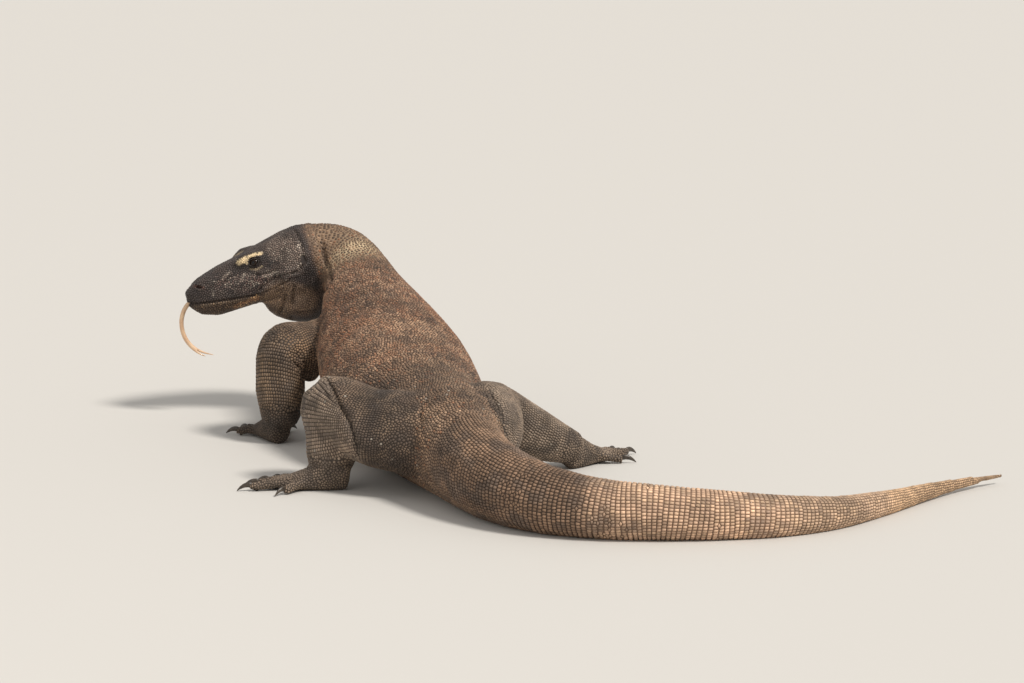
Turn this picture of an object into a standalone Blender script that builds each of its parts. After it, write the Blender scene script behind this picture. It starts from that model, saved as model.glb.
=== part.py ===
"""A komodo dragon at rest, life size, as a still museum model.

The animal lies on its belly with the chest propped on the forelegs and the head turned to
its left. The whole body is lofted from stations, joined into one skin-tight form, and then
parted into named pieces by thin cuts. Eyes, eardrums, tongue and claws are pieces of their own.

Metres, +Z up. While it is built, the origin is the floor under the hips, +Y is ahead of the
animal and -X is to its left. The last step moves the origin to the middle of the footprint.
"""

import math
from collections import namedtuple

import bmesh
import bpy
from mathutils import Matrix, Vector

# ---------------------------------------------------------------- driving dimensions

HEAD_LENGTH = 0.224  # snout tip to the back of the jaw
EYE_RADIUS = 0.0098
EARDRUM_RADIUS = 0.0085
EARDRUM_THICKNESS = 0.002
TONGUE_HALF_WIDTH = 0.0048
TONGUE_HALF_HEIGHT = 0.0042
GAP = 0.00035  # clearance where one piece sits in or against another
TONGUE_ROOM = 0.0010  # clearance round the tongue in the lips
CUT_WIDTH = 0.0004  # thickness of the thin cuts that part the body
VOXEL = 0.0032  # grain of the joined form, before it is thinned to facets
BODY_TRIANGLES = 2950
SMOOTHING_PASSES = 5
FLOOR_DEPTH = 0.2  # how far the block that flattens the underside reaches down
STEPS = 6  # rings between two stations of a loft
TONGUE_VOXEL = 0.0008
TONGUE_TRIANGLES = 320
SHELL_STANDOFF = 0.003  # how far outside the torso its limbs are parted from it
SMALLEST_PIECE = 1e-7  # cubic metres, under which what a cut leaves is a shaving
SHARP_ANGLE = math.radians(50)

# where the cuts go, as positions along the stations below
TORSO_FROM, WAIST_AT, TORSO_TO = 3.5, 7.5, 10.0
TAIL_CUTS = (13, 16, 18)
MIDDLE_JOINT, END_JOINT = 3, 5.33

# ---------------------------------------------------------------- stations of the lofts

# centre of a section, half its width, half its height
Station = namedtuple("Station", "x y z wide high")

SPINE = (
    Station(-0.300, 0.728, 0.272, 0.050, 0.052),  # inside the skull
    Station(-0.247, 0.742, 0.281, 0.058, 0.060),  # nape
    Station(-0.204, 0.726, 0.275, 0.060, 0.062),  # bend of the neck
    Station(-0.172, 0.676, 0.250, 0.062, 0.064),
    Station(-0.154, 0.602, 0.216, 0.082, 0.078),  # withers
    Station(-0.129, 0.500, 0.174, 0.112, 0.096),  # chest
    Station(-0.101, 0.385, 0.138, 0.131, 0.104),  # ribs
    Station(-0.070, 0.255, 0.106, 0.128, 0.108),  # belly
    Station(-0.036, 0.130, 0.092, 0.100, 0.098),  # loin
    Station(0.004, 0.000, 0.088, 0.086, 0.091),  # hips
    Station(0.030, -0.095, 0.078, 0.066, 0.080),  # root of the tail
    Station(0.074, -0.196, 0.065, 0.056, 0.068),
    Station(0.144, -0.280, 0.054, 0.050, 0.057),
    Station(0.236, -0.325, 0.046, 0.044, 0.049),
    Station(0.334, -0.338, 0.042, 0.039, 0.045),
    Station(0.434, -0.334, 0.037, 0.034, 0.040),
    Station(0.532, -0.312, 0.031, 0.028, 0.034),
    Station(0.620, -0.258, 0.025, 0.022, 0.027),
    Station(0.700, -0.165, 0.020, 0.016, 0.021),
    Station(0.776, -0.060, 0.016, 0.011, 0.015),
    Station(0.852, 0.030, 0.014, 0.007, 0.009),
    Station(0.922, 0.088, 0.014, 0.004, 0.005),  # tip, just off the floor
)

LEFT_ARM = (
    Station(-0.150, 0.590, 0.180, 0.050, 0.054),
    Station(-0.200, 0.552, 0.163, 0.048, 0.052),  # shoulder
    Station(-0.252, 0.512, 0.156, 0.044, 0.048),
    Station(-0.297, 0.478, 0.158, 0.043, 0.047),  # elbow
    Station(-0.303, 0.462, 0.110, 0.043, 0.042),
    Station(-0.301, 0.448, 0.070, 0.041, 0.040),
    Station(-0.304, 0.444, 0.034, 0.031, 0.032),  # wrist
)
LEFT_TRICEPS = Vector((-0.254, 0.500, 0.146))  # the bulge behind the left elbow
RIGHT_ARM = (
    Station(-0.130, 0.590, 0.185, 0.050, 0.056),
    Station(-0.092, 0.574, 0.164, 0.048, 0.055),  # shoulder
    Station(-0.056, 0.556, 0.142, 0.043, 0.047),
    Station(-0.028, 0.550, 0.120, 0.040, 0.042),  # elbow
    Station(-0.024, 0.572, 0.090, 0.037, 0.038),
    Station(-0.022, 0.596, 0.060, 0.032, 0.033),
    Station(-0.020, 0.618, 0.034, 0.026, 0.026),  # wrist
)
LEFT_LEG = (
    Station(-0.020, 0.000, 0.090, 0.070, 0.076),
    Station(-0.072, 0.018, 0.102, 0.064, 0.076),  # hip
    Station(-0.134, 0.050, 0.108, 0.056, 0.072),
    Station(-0.202, 0.094, 0.134, 0.047, 0.050),  # knee
    Station(-0.201, 0.078, 0.092, 0.041, 0.044),
    Station(-0.198, 0.058, 0.055, 0.041, 0.040),
    Station(-0.190, 0.046, 0.033, 0.034, 0.033),  # ankle
)
RIGHT_LEG = (
    Station(0.030, -0.010, 0.090, 0.068, 0.074),
    Station(0.055, 0.030, 0.102, 0.060, 0.066),  # hip
    Station(0.062, 0.098, 0.118, 0.053, 0.058),
    Station(0.078, 0.150, 0.111, 0.045, 0.048),  # knee
    Station(0.118, 0.174, 0.078, 0.047, 0.044),
    Station(0.164, 0.199, 0.053, 0.039, 0.037),
    Station(0.210, 0.224, 0.034, 0.026, 0.027),  # ankle
)

# cuts where a limb is folded on itself: centre, the way it faces, half size
FOLDED_CUTS = (
    (Vector((-0.287, 0.490, 0.145)), Vector((-0.90, -0.10, -0.42)), 0.068),  # left elbow
    (Vector((-0.179, 0.060, 0.108)), Vector((-0.96, -0.05, -0.27)), 0.088),  # left knee
    (Vector((-0.206, 0.055, 0.051)), Vector((0.0, -0.10, -1.0)), 0.058),  # left ankle
)

# share of the head from the snout, half width, height above and depth below the head's line
HEAD_SECTIONS = (
    (-0.012, 0.011, 0.001, 0.019),
    (0.012, 0.018, 0.007, 0.029),
    (0.060, 0.025, 0.014, 0.040),
    (0.120, 0.030, 0.022, 0.047),
    (0.220, 0.034, 0.029, 0.052),
    (0.350, 0.038, 0.036, 0.052),
    (0.480, 0.042, 0.041, 0.051),
    (0.600, 0.047, 0.048, 0.051),
    (0.740, 0.056, 0.055, 0.056),
    (0.870, 0.063, 0.061, 0.062),
    (1.000, 0.063, 0.063, 0.064),
    (1.120, 0.058, 0.060, 0.062),
)
HEAD_BACK = Vector((-0.262, 0.728, 0.281))  # where the head's line meets the neck
SNOUT_TIP = Vector((-0.482, 0.700, 0.219))

# places in the head: distance to the side, share of the head from the snout, height
EYE_SIDE, EYE_SHARE, EYE_HEIGHT = 0.0362, 0.593, 0.026
EAR_SIDE, EAR_SHARE, EAR_HEIGHT = 0.0600, 0.965, 0.010
PIT_DEPTH = 0.010
# the mouth's line as share and height, then the line that parts the jaw from the throat
MOUTH_LINE = ((-0.10, -0.0150), (0.30, -0.0245), (0.54, -0.0300), (0.80, -0.0190))
JAW_END = (0.75, -0.1400)
NECK_CUT_SHARE = 1.06

# the tongue's bends and its two tines, as X and Z from the lips
TONGUE_BENDS = ((-0.0122, -0.0135), (-0.0178, -0.0325), (-0.0168, -0.0510), (-0.0108, -0.0672),
                (-0.0010, -0.0805), (0.0100, -0.0888))
TINE_BENDS = (((0.0120, -0.0925), (0.0270, -0.0990)), ((0.0190, -0.0920), (0.0414, -0.0975)))

# length of each toe from thumb to outside, and how far it turns from the foot's line
FORE_TOES = ((0.034, 52), (0.044, 26), (0.048, 4), (0.044, -18), (0.034, -46))
HIND_TOES = ((0.036, 38), (0.050, 20), (0.062, 4), (0.070, -12), (0.040, -52))
TOE_RADIUS = 0.0086
CLAW_LENGTH = 0.030
CLAW_HEIGHT = 0.0058
CLAW_WIDTH = 0.0036

Foot = namedtuple("Foot", "ankle heading palm half_width toes outside")
FEET = {
    "left_fore": Foot(Vector((-0.308, 0.444, 0)), 110, 0.070, 0.028, FORE_TOES, 1),
    "right_fore": Foot(Vector((-0.020, 0.618, 0)), 80, 0.070, 0.028, FORE_TOES, -1),
    "left_hind": Foot(Vector((-0.190, 0.044, 0)), 176, 0.078, 0.027, HIND_TOES, 1),
    "right_hind": Foot(Vector((0.208, 0.224, 0)), 58, 0.072, 0.026, HIND_TOES, -1),
}

SKIN = ("komodo_skin", (0.16, 0.115, 0.08, 1), 0.75)
HEAD_SKIN = ("komodo_head_skin", (0.07, 0.058, 0.05, 1), 0.6)
EYE = ("komodo_eye", (0.02, 0.012, 0.008, 1), 0.1)
CLAW = ("komodo_claw", (0.05, 0.045, 0.04, 1), 0.4)
TONGUE = ("komodo_tongue", (0.75, 0.5, 0.38, 1), 0.4)
EARDRUM = ("komodo_eardrum", (0.1, 0.075, 0.06, 1), 0.5)


# ---------------------------------------------------------------- making solids

def clear_scene():
    for thing in list(bpy.data.objects):
        bpy.data.objects.remove(thing)


def material(name, colour, roughness):
    found = bpy.data.materials.get(name) or bpy.data.materials.new(name)
    found.use_nodes = True
    shader = found.node_tree.nodes["Principled BSDF"]
    shader.inputs["Base Color"].default_value = colour
    shader.inputs["Roughness"].default_value = roughness
    return found


def add_object(name, form, finish=None):
    mesh = bpy.data.meshes.new(name)
    form.to_mesh(mesh)
    form.free()
    made = bpy.data.objects.new(name, mesh)
    bpy.context.collection.objects.link(made)
    if finish:
        mesh.materials.append(material(*finish))
    return made


def between(a, b, c, d, t):
    """The Catmull-Rom value between b and c."""
    return 0.5 * (2 * b + (c - a) * t + (2 * a - 5 * b + 4 * c - d) * t * t
                  + (3 * b - a - 3 * c + d) * t * t * t)


def smooth_rows(rows, steps=STEPS):
    """Rows of numbers filled in so that each column runs smoothly through the given rows."""
    first = [2 * p - q for p, q in zip(rows[0], rows[1])]
    last = [2 * p - q for p, q in zip(rows[-1], rows[-2])]
    padded = [first, *rows, last]
    filled = []
    for a, b, c, d in zip(padded, padded[1:], padded[2:], padded[3:]):
        for step in range(steps):
            t = step / steps
            filled.append([between(*column, t) for column in zip(a, b, c, d)])
    filled.append(list(rows[-1]))
    return filled


def section(form, matrix, wide, top, bottom, sides, squareness=2.0):
    """A closed ring of edges across the loft, in the XY plane of the matrix."""
    ring = bmesh.ops.create_circle(form, cap_ends=False, radius=1, segments=sides)["verts"]
    power = 2 / squareness
    for vert in ring:
        across, up = vert.co.x, vert.co.y
        across = math.copysign(abs(across) ** power, across) * wide
        up = math.copysign(abs(up) ** power, up) * (top if up > 0 else bottom)
        vert.co = matrix @ Vector((across, up, 0))
    return list({edge for vert in ring for edge in vert.link_edges})


def close_loft(form, rings):
    for ring, following in zip(rings, rings[1:]):
        bmesh.ops.bridge_loops(form, edges=ring + following)
    for end in (rings[0], rings[-1]):
        bmesh.ops.contextual_create(form, geom=end)
    bmesh.ops.recalc_face_normals(form, faces=form.faces)
    bmesh.ops.triangulate(form, faces=form.faces, quad_method="FIXED")


def frame_at(centre, ahead, pole):
    """A matrix at the centre whose Z runs ahead and whose Y is nearest to the pole."""
    side = pole.cross(ahead).normalized()
    up = ahead.cross(side)
    return Matrix.Translation(centre) @ Matrix((side, up, ahead)).transposed().to_4x4()


def loft(form, stations, pole=Vector((0, 0, 1)), sides=24, steps=STEPS):
    """Adds a closed solid with elliptical sections through the stations."""
    rows = smooth_rows(stations, steps)
    centres = [Vector(row[:3]) for row in rows]
    ends = [centres[0], *centres, centres[-1]]
    rings = []
    for row, before, centre, after in zip(rows, ends, centres, ends[2:]):
        matrix = frame_at(centre, (after - before).normalized(), pole)
        rings.append(section(form, matrix, row[3], row[4], row[4], sides))
    close_loft(form, rings)


def ball(form, centre, radii, turn=Matrix.Identity(4)):
    """Adds an ellipsoid, used for muscle masses."""
    size = Matrix.Diagonal((*radii, 1))
    place = Matrix.Translation(centre) @ turn @ size
    bmesh.ops.create_uvsphere(form, u_segments=24, v_segments=14, radius=1, matrix=place)


def merge(target, source):
    """Moves the source form's solids into the target form."""
    mesh = bpy.data.meshes.new("part")
    source.to_mesh(mesh)
    source.free()
    target.from_mesh(mesh)
    bpy.data.meshes.remove(mesh)


# ---------------------------------------------------------------- the head

def head_matrix():
    """Head space: X to the animal's left, Y up, Z ahead, with its origin at the snout tip."""
    ahead = (SNOUT_TIP - HEAD_BACK).normalized()
    return frame_at(SNOUT_TIP, ahead, Vector((0, 0, 1)))


def in_head(side, share, height):
    """The point at that distance to the side, share of the head from the snout, and height."""
    return head_matrix() @ Vector((side, height, -share * HEAD_LENGTH))


def add_head(form):
    rings = []
    for share, wide, top, bottom in smooth_rows(HEAD_SECTIONS, 3):
        place = head_matrix() @ Matrix.Translation((0, 0, -share * HEAD_LENGTH))
        rings.append(section(form, place, wide, top, bottom, 28, squareness=2.35))
    close_loft(form, rings)
    turn = head_matrix().to_3x3().to_4x4()
    for side in (-1, 1):
        ball(form, in_head(side * 0.030, 0.57, 0.036), (0.014, 0.012, 0.030), turn)  # brow
        ball(form, in_head(side * 0.040, 0.86, -0.004), (0.028, 0.044, 0.034), turn)  # jaw muscle
    ball(form, in_head(0, 0.87, -0.052), (0.046, 0.050, 0.066), turn)  # throat pouch
    ball(form, in_head(0, 1.16, -0.056), (0.044, 0.044, 0.050), turn)


def add_eyeball(form, side, grow=0.0):
    centre = Matrix.Translation(in_head(side * EYE_SIDE, EYE_SHARE, EYE_HEIGHT))
    bmesh.ops.create_icosphere(form, subdivisions=2, radius=EYE_RADIUS + grow, matrix=centre)


def add_eardrum(form, side, grow=0.0):
    """A thin disc in a shallow pit behind the jaw. The pit's cutter is the same disc, grown."""
    outward = (head_matrix().to_3x3() @ Vector((side, 0.05, -0.25))).normalized()
    centre = in_head(side * EAR_SIDE, EAR_SHARE, EAR_HEIGHT) + outward * (PIT_DEPTH / 2 if grow else 0)
    bmesh.ops.create_cone(
        form, cap_ends=True, segments=18, radius1=EARDRUM_RADIUS + grow, radius2=EARDRUM_RADIUS + grow,
        depth=EARDRUM_THICKNESS + 2 * grow + (PIT_DEPTH if grow else 0),
        matrix=frame_at(centre, outward, Vector((0, 0, 1))))


def add_tongue(form, grow=0.0):
    """The tongue hangs from the tip of the mouth and curls back. Grown, only its channel is made."""
    wide, high = TONGUE_HALF_WIDTH + grow, TONGUE_HALF_HEIGHT + grow
    pole = Vector((-1, 0, 0.4))
    lips = in_head(0, 0.02, MOUTH_LINE[0][1])
    root = in_head(0, 0.13 + grow / HEAD_LENGTH, MOUTH_LINE[0][1] - 0.003)
    stem = [Station(*root, wide, high), Station(*lips, wide, high)]
    stem += [Station(*(lips + Vector((x, -0.002, z))), wide, high) for x, z in TONGUE_BENDS]
    loft(form, stem, pole, 12, 4)
    if grow:
        return
    split = Vector(stem[-2][:3])
    for bends, side in zip(TINE_BENDS, (-0.0035, 0.0035)):
        rows = [Station(*(split + Vector((0, side * 0.5, 0))), wide * 0.55, high * 0.85)]
        for share, (x, z) in zip((0.48, 0.18), bends):
            rows.append(Station(*(lips + Vector((x, side - 0.002, z))), wide * share, high * share))
        loft(form, rows, pole, 10, 4)


# ---------------------------------------------------------------- feet and claws

def heading_vector(degrees):
    return Vector((math.cos(math.radians(degrees)), math.sin(math.radians(degrees)), 0))


def toe_line(foot, index):
    """Where a toe starts, the way it points, and its length."""
    length, turn = foot.toes[index]
    ahead = heading_vector(foot.heading)
    across = heading_vector(foot.heading - 90 * foot.outside)
    spread = (2 - index) / 2 * foot.half_width * 0.80
    back = 0.022 if index == 4 and foot.toes is HIND_TOES else 0.006
    start = foot.ankle + ahead * (foot.palm - back) + across * spread
    return start, heading_vector(foot.heading - turn * foot.outside), length


def add_foot(form, foot):
    ahead = heading_vector(foot.heading)
    wide = foot.half_width
    palm = [(-0.022, 0.022, 0.60, 0.022), (0.004, 0.025, 0.90, 0.028), (foot.palm * 0.5, 0.018, 0.98, 0.020),
            (foot.palm * 0.9, 0.013, 1.05, 0.014), (foot.palm + 0.008, 0.010, 0.95, 0.009)]
    rows = [Station(*(foot.ankle + ahead * along + Vector((0, 0, z))), wide * share, high)
            for along, z, share, high in palm]
    loft(form, rows, sides=20)
    for index in range(5):
        start, out, length = toe_line(foot, index)
        thick = TOE_RADIUS
        profile = ((-0.5, 0.0110, 1.0), (0.15, 0.0125, 1.05), (0.55, 0.0105, 0.95),
                   (0.85, 0.0082, 1.0), (1.04, 0.0078, 0.72))
        rows = [Station(*(start + out * along * length + Vector((0, 0, z))), thick * size, thick * size)
                for along, z, size in profile]
        loft(form, rows, sides=12)


def add_claw(form, foot, index, grow=0.0):
    """A claw leaves the toe's tip level, then hooks down until its point meets the floor."""
    start, out, length = toe_line(foot, index)
    root = start + out * (length - 0.004 - grow) + Vector((0, 0, 0.0100))
    profile = ((0.0, 0.0, 0.95), (0.32, 0.0014, 0.92), (0.62, -0.0010, 0.66), (0.86, -0.0052, 0.36),
               (1.0, -0.0088, 0.10))
    rows = []
    for along, drop, size in profile:
        centre = root + out * along * CLAW_LENGTH * 0.88 + Vector((0, 0, drop))
        rows.append(Station(*centre, CLAW_WIDTH * size + grow, CLAW_HEIGHT * size + grow))
    loft(form, rows, sides=6, steps=1)


# ---------------------------------------------------------------- joining and parting

def evaluated_mesh(thing):
    graph = bpy.context.evaluated_depsgraph_get()
    return bpy.data.meshes.new_from_object(thing.evaluated_get(graph), depsgraph=graph)


def add_limbs(form):
    ball(form, LEFT_TRICEPS, (0.026, 0.034, 0.050))
    for limb, pole in ((LEFT_ARM, Vector((0, 1, 0.5))), (RIGHT_ARM, Vector((0, 1, 0.5))),
                       (LEFT_LEG, Vector((0, 1, 0.5))), (RIGHT_LEG, Vector((-1, 1, 0.5)))):
        loft(form, limb, pole)


def joined(name, form, voxel, passes, triangles):
    """Overlapping lofts made one closed form, smoothed where they meet, and thinned to facets."""
    whole = add_object(name, form)
    remesh = whole.modifiers.new("join", "REMESH")
    remesh.mode = "VOXEL"
    remesh.voxel_size = voxel
    ease = whole.modifiers.new("ease", "SMOOTH")
    ease.factor = 0.5
    ease.iterations = passes
    faces = len(evaluated_mesh(whole).polygons)
    thin = whole.modifiers.new("thin", "DECIMATE")
    thin.ratio = triangles / (2 * faces)
    thin.use_collapse_triangulate = True
    whole.data = evaluated_mesh(whole)
    whole.modifiers.clear()
    return whole


def joined_body():
    form = bmesh.new()
    loft(form, SPINE)
    add_head(form)
    add_limbs(form)
    for foot in FEET.values():
        add_foot(form, foot)
    return joined("body_form", form, VOXEL, SMOOTHING_PASSES, BODY_TRIANGLES)


def plate(centre, normal, half_size):
    """A thin square cutter across a limb."""
    form = bmesh.new()
    size = Matrix.Diagonal((2 * half_size, 2 * half_size, CUT_WIDTH, 1))
    bmesh.ops.create_cube(form, size=1, matrix=frame_at(centre, normal, Vector((0.1, 0, 1))) @ size)
    return form


def cut_across(stations, position, margin=1.3):
    """A thin cut across a loft, at a station or part of the way from one to the next."""
    rows = smooth_rows(stations)
    index = round(position * STEPS)
    row = rows[index]
    ahead = Vector(rows[index + 1][:3]) - Vector(rows[index - 1][:3])
    return plate(Vector(row[:3]), ahead.normalized(), margin * max(row[3], row[4]))


def torso_shell():
    """A thin-walled shell round the torso. It parts off the neck, the tail and the four limbs."""
    form = bmesh.new()
    rows = smooth_rows(SPINE)[round(TORSO_FROM * STEPS):round(TORSO_TO * STEPS) + 1:3]
    grown = [Station(*row[:3], row[3] + SHELL_STANDOFF, row[4] + SHELL_STANDOFF) for row in rows]
    loft(form, grown, sides=20, steps=1)
    bmesh.ops.solidify(form, geom=form.faces, thickness=CUT_WIDTH)
    return form


def jaw_sheet():
    """A thin bent sheet that runs back along the mouth's line and then down through the throat."""
    form = bmesh.new()
    line = [form.verts.new(in_head(-0.09, share, height)) for share, height in (*MOUTH_LINE, JAW_END)]
    edges = [form.edges.new(pair) for pair in zip(line, line[1:])]
    swept = bmesh.ops.extrude_edge_only(form, edges=edges)["geom"]
    across = in_head(0.09, 0, 0) - in_head(-0.09, 0, 0)
    bmesh.ops.translate(form, verts=[v for v in swept if isinstance(v, bmesh.types.BMVert)], vec=across)
    bmesh.ops.solidify(form, geom=form.faces, thickness=CUT_WIDTH)
    bmesh.ops.recalc_face_normals(form, faces=form.faces)
    return form


def floor_block():
    form = bmesh.new()
    size = Matrix.Diagonal((4, 4, FLOOR_DEPTH, 1))
    bmesh.ops.create_cube(form, size=1, matrix=Matrix.Translation((0, 0, -FLOOR_DEPTH / 2)) @ size)
    return form


def cutters():
    """Everything that is taken out of the joined body: the thin cuts and the sockets."""
    yield floor_block()
    yield torso_shell()
    yield cut_across(SPINE, WAIST_AT, 1.12)
    for position in TAIL_CUTS:
        yield cut_across(SPINE, position)
    yield plate(in_head(0, NECK_CUT_SHARE, -0.02), (SNOUT_TIP - HEAD_BACK).normalized(), 0.094)
    yield jaw_sheet()
    for centre, normal, half_size in FOLDED_CUTS:
        yield plate(centre, normal, half_size)
    for limb in (RIGHT_ARM, RIGHT_LEG):
        yield cut_across(limb, MIDDLE_JOINT, 1.45)
    for limb in (LEFT_ARM, RIGHT_ARM, RIGHT_LEG):
        yield cut_across(limb, END_JOINT, 1.5)
    for side in (-1, 1):
        for add in (add_eyeball, add_eardrum):
            form = bmesh.new()
            add(form, side, GAP)
            yield form
    form = bmesh.new()
    add_tongue(form, TONGUE_ROOM)
    yield form
    for foot in FEET.values():
        form = bmesh.new()
        for index in range(5):
            add_claw(form, foot, index, GAP)
        yield form


def cut(body):
    helpers = []
    for number, form in enumerate(cutters()):
        helpers.append(add_object(f"cutter_{number}", form))
        boolean = body.modifiers.new(f"cut_{number}", "BOOLEAN")
        boolean.operation = "DIFFERENCE"
        boolean.object = helpers[-1]
    body.data = evaluated_mesh(body)
    body.modifiers.clear()
    for helper in helpers:
        bpy.data.objects.remove(helper)


def islands(form):
    """The separate closed bodies of a form, as lists of vertices."""
    waiting = set(form.verts)
    while waiting:
        island, edge = set(), [waiting.pop()]
        while edge:
            vert = edge.pop()
            island.add(vert)
            near = {link.other_vert(vert) for link in vert.link_edges} & waiting
            waiting -= near
            edge.extend(near)
        yield island


def middle(stations, position):
    return Vector(smooth_rows(stations)[round(position * STEPS)][:3])


def flesh_pieces():
    """A point near the middle of each piece that the cuts leave, by the piece's name."""
    hearts = {
        "head": in_head(0, 0.60, 0.010), "lower_jaw": in_head(0, 0.45, -0.042),
        "neck": middle(SPINE, 2.3), "trunk": middle(SPINE, 5.8), "hips": middle(SPINE, 8.7),
        "tail_base": middle(SPINE, 11.6), "tail_middle": middle(SPINE, 14.2),
        "tail_end": middle(SPINE, 17), "tail_tip": middle(SPINE, 19),
    }
    for side, arm, leg in (("left", LEFT_ARM, LEFT_LEG), ("right", RIGHT_ARM, RIGHT_LEG)):
        hearts[side + "_upper_arm"] = middle(arm, 2.2)
        hearts[side + "_forearm"] = middle(arm, 4.2)
        hearts[side + "_thigh"] = middle(leg, 2.2)
        hearts[side + "_shin"] = middle(leg, 4.2)
    for name, foot in FEET.items():
        hearts[name + "_foot"] = foot.ankle + heading_vector(foot.heading) * foot.palm + Vector((0, 0, 0.02))
    return hearts


def part_flesh(body):
    """Makes one object of each closed body that the cuts leave, named by what it is nearest to."""
    whole = bmesh.new()
    whole.from_mesh(body.data)
    hearts = flesh_pieces()
    for island in list(islands(whole)):
        form = bmesh.new()
        copies = {vert: form.verts.new(vert.co) for vert in island}
        for face in {face for vert in island for face in vert.link_faces}:
            form.faces.new([copies[vert] for vert in face.verts])
        if form.calc_volume() < SMALLEST_PIECE:
            form.free()
            continue
        centre = sum((vert.co for vert in form.verts), Vector()) / len(form.verts)
        name = min(hearts, key=lambda heart: (hearts[heart] - centre).length)
        del hearts[name]
        add_object(name, form, HEAD_SKIN if name in ("head", "lower_jaw") else SKIN)
    whole.free()
    bpy.data.objects.remove(body)
    return hearts


def add_small_pieces():
    for side, name in ((1, "left"), (-1, "right")):
        for add, word, finish in ((add_eyeball, "eye", EYE), (add_eardrum, "eardrum", EARDRUM)):
            form = bmesh.new()
            add(form, side)
            add_object(f"{name}_{word}", form, finish)
    form = bmesh.new()
    add_tongue(form)
    tongue = joined("tongue", form, TONGUE_VOXEL, 2, TONGUE_TRIANGLES)
    tongue.data.materials.append(material(*TONGUE))
    for name, foot in FEET.items():
        for index in range(5):
            form = bmesh.new()
            add_claw(form, foot, index)
            add_object(f"{name}_claw_{index + 1}", form, CLAW)


def centre_on_footprint():
    """Moves the origin to the floor under the middle of the whole model."""
    pieces = [thing for thing in bpy.data.objects if thing.type == "MESH"]
    corners = [vert.co for thing in pieces for vert in thing.data.vertices]
    middle_x = (min(c.x for c in corners) + max(c.x for c in corners)) / 2
    middle_y = (min(c.y for c in corners) + max(c.y for c in corners)) / 2
    for thing in pieces:
        thing.data.transform(Matrix.Translation((-middle_x, -middle_y, 0)))
    print(f"hips to footprint centre: {middle_x:.4f} {middle_y:.4f}")


def main():
    clear_scene()
    body = joined_body()
    cut(body)
    unfound = part_flesh(body)
    if unfound:
        print("pieces that the cuts didn't free:", sorted(unfound))
    add_small_pieces()
    centre_on_footprint()
    for thing in bpy.data.objects:
        thing.data.shade_smooth()
        thing.data.set_sharp_from_angle(angle=SHARP_ANGLE)


main()
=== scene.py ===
# %% [markdown]
# # A komodo dragon at rest
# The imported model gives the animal's flesh, eyes, eardrums, claws and tongue as plain solids.
# This lesson dresses them: one skin over all the flesh, a coat of small raised scales on the
# skin, lids, nostrils and folds, and then the eyes, claws and tongue. The solids are loaded
# first, because every place below is measured from them.

# %% Load the solids
import math

import bmesh
import bpy
import numpy as np
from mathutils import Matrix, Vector
from mathutils.bvhtree import BVHTree
from mathutils.kdtree import KDTree


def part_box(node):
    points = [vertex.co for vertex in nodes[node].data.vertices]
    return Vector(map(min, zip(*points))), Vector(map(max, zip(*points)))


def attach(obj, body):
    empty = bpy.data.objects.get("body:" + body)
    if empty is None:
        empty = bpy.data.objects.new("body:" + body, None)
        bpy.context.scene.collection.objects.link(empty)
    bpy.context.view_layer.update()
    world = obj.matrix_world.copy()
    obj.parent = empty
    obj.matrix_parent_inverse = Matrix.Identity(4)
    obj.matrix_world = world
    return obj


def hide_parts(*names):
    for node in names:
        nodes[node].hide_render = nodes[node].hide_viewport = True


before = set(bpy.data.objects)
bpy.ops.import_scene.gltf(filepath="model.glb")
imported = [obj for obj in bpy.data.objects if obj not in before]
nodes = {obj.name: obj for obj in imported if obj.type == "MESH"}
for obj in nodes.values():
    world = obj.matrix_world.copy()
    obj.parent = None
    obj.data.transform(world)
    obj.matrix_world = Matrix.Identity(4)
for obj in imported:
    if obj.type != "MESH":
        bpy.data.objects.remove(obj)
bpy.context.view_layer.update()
chance = np.random.default_rng(7)

# %% [markdown]
# ## The camera
# A long lens from well back, a little above the animal and tipped down ten degrees, keeps its
# proportions. A short lens from near by would swell the head and shrink the tail.

# %% Camera
CAMERA_PLACE = (-0.1112, -7.6521, 1.569)
CAMERA_TIP = 80  # degrees from looking straight down
LENS = 161.72
SENSOR = 36
FARTHEST_SEEN = 200


def new_object(name, data):
    """A new object that shows a mesh, a lamp or a camera."""
    made = bpy.data.objects.new(name, data)
    bpy.context.scene.collection.objects.link(made)
    return made


camera_data = bpy.data.cameras.new("camera")
camera_data.lens = LENS
camera_data.sensor_width = SENSOR
camera_data.clip_end = FARTHEST_SEEN
camera = new_object("camera", camera_data)
camera.location = CAMERA_PLACE
camera.rotation_euler = (math.radians(CAMERA_TIP), 0, 0)
bpy.context.scene.camera = camera
print("camera", CAMERA_PLACE, "lens", LENS)

# %% [markdown]
# ## The floor
# The animal lies on one large pale sheet. A single face is enough, so wide that its edge is
# never seen. Its finish is dull, as paper is, so that it takes a soft shadow and no glare.

# %% Floor
FLOOR_HALF = 40
FLOOR_COLOUR, FLOOR_ROUGHNESS = (0.62, 0.60, 0.57, 1), 0.8


def mesh_object(name, form):
    """A new object from a bmesh, at the origin."""
    mesh = bpy.data.meshes.new(name)
    form.to_mesh(mesh)
    form.free()
    return new_object(name, mesh)


def shader_material(name):
    """A new node material, with its tree and its Principled shader."""
    made = bpy.data.materials.new(name)
    made.use_nodes = True
    tree = made.node_tree
    return made, tree, tree.nodes["Principled BSDF"]


def feed(tree, node, inputs):
    """Links a socket to each input named, or sets the input to a plain value."""
    for name, value in inputs.items():
        if isinstance(value, bpy.types.NodeSocket):
            tree.links.new(value, node.inputs[name])
        else:
            node.inputs[name].default_value = value


def add_floor():
    form = bmesh.new()
    bmesh.ops.create_grid(form, x_segments=1, y_segments=1, size=FLOOR_HALF)
    floor = mesh_object("floor", form)
    made, tree, shader = shader_material("pale_floor")
    feed(tree, shader, {"Base Color": FLOOR_COLOUR, "Roughness": FLOOR_ROUGHNESS})
    floor.data.materials.append(made)


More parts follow.
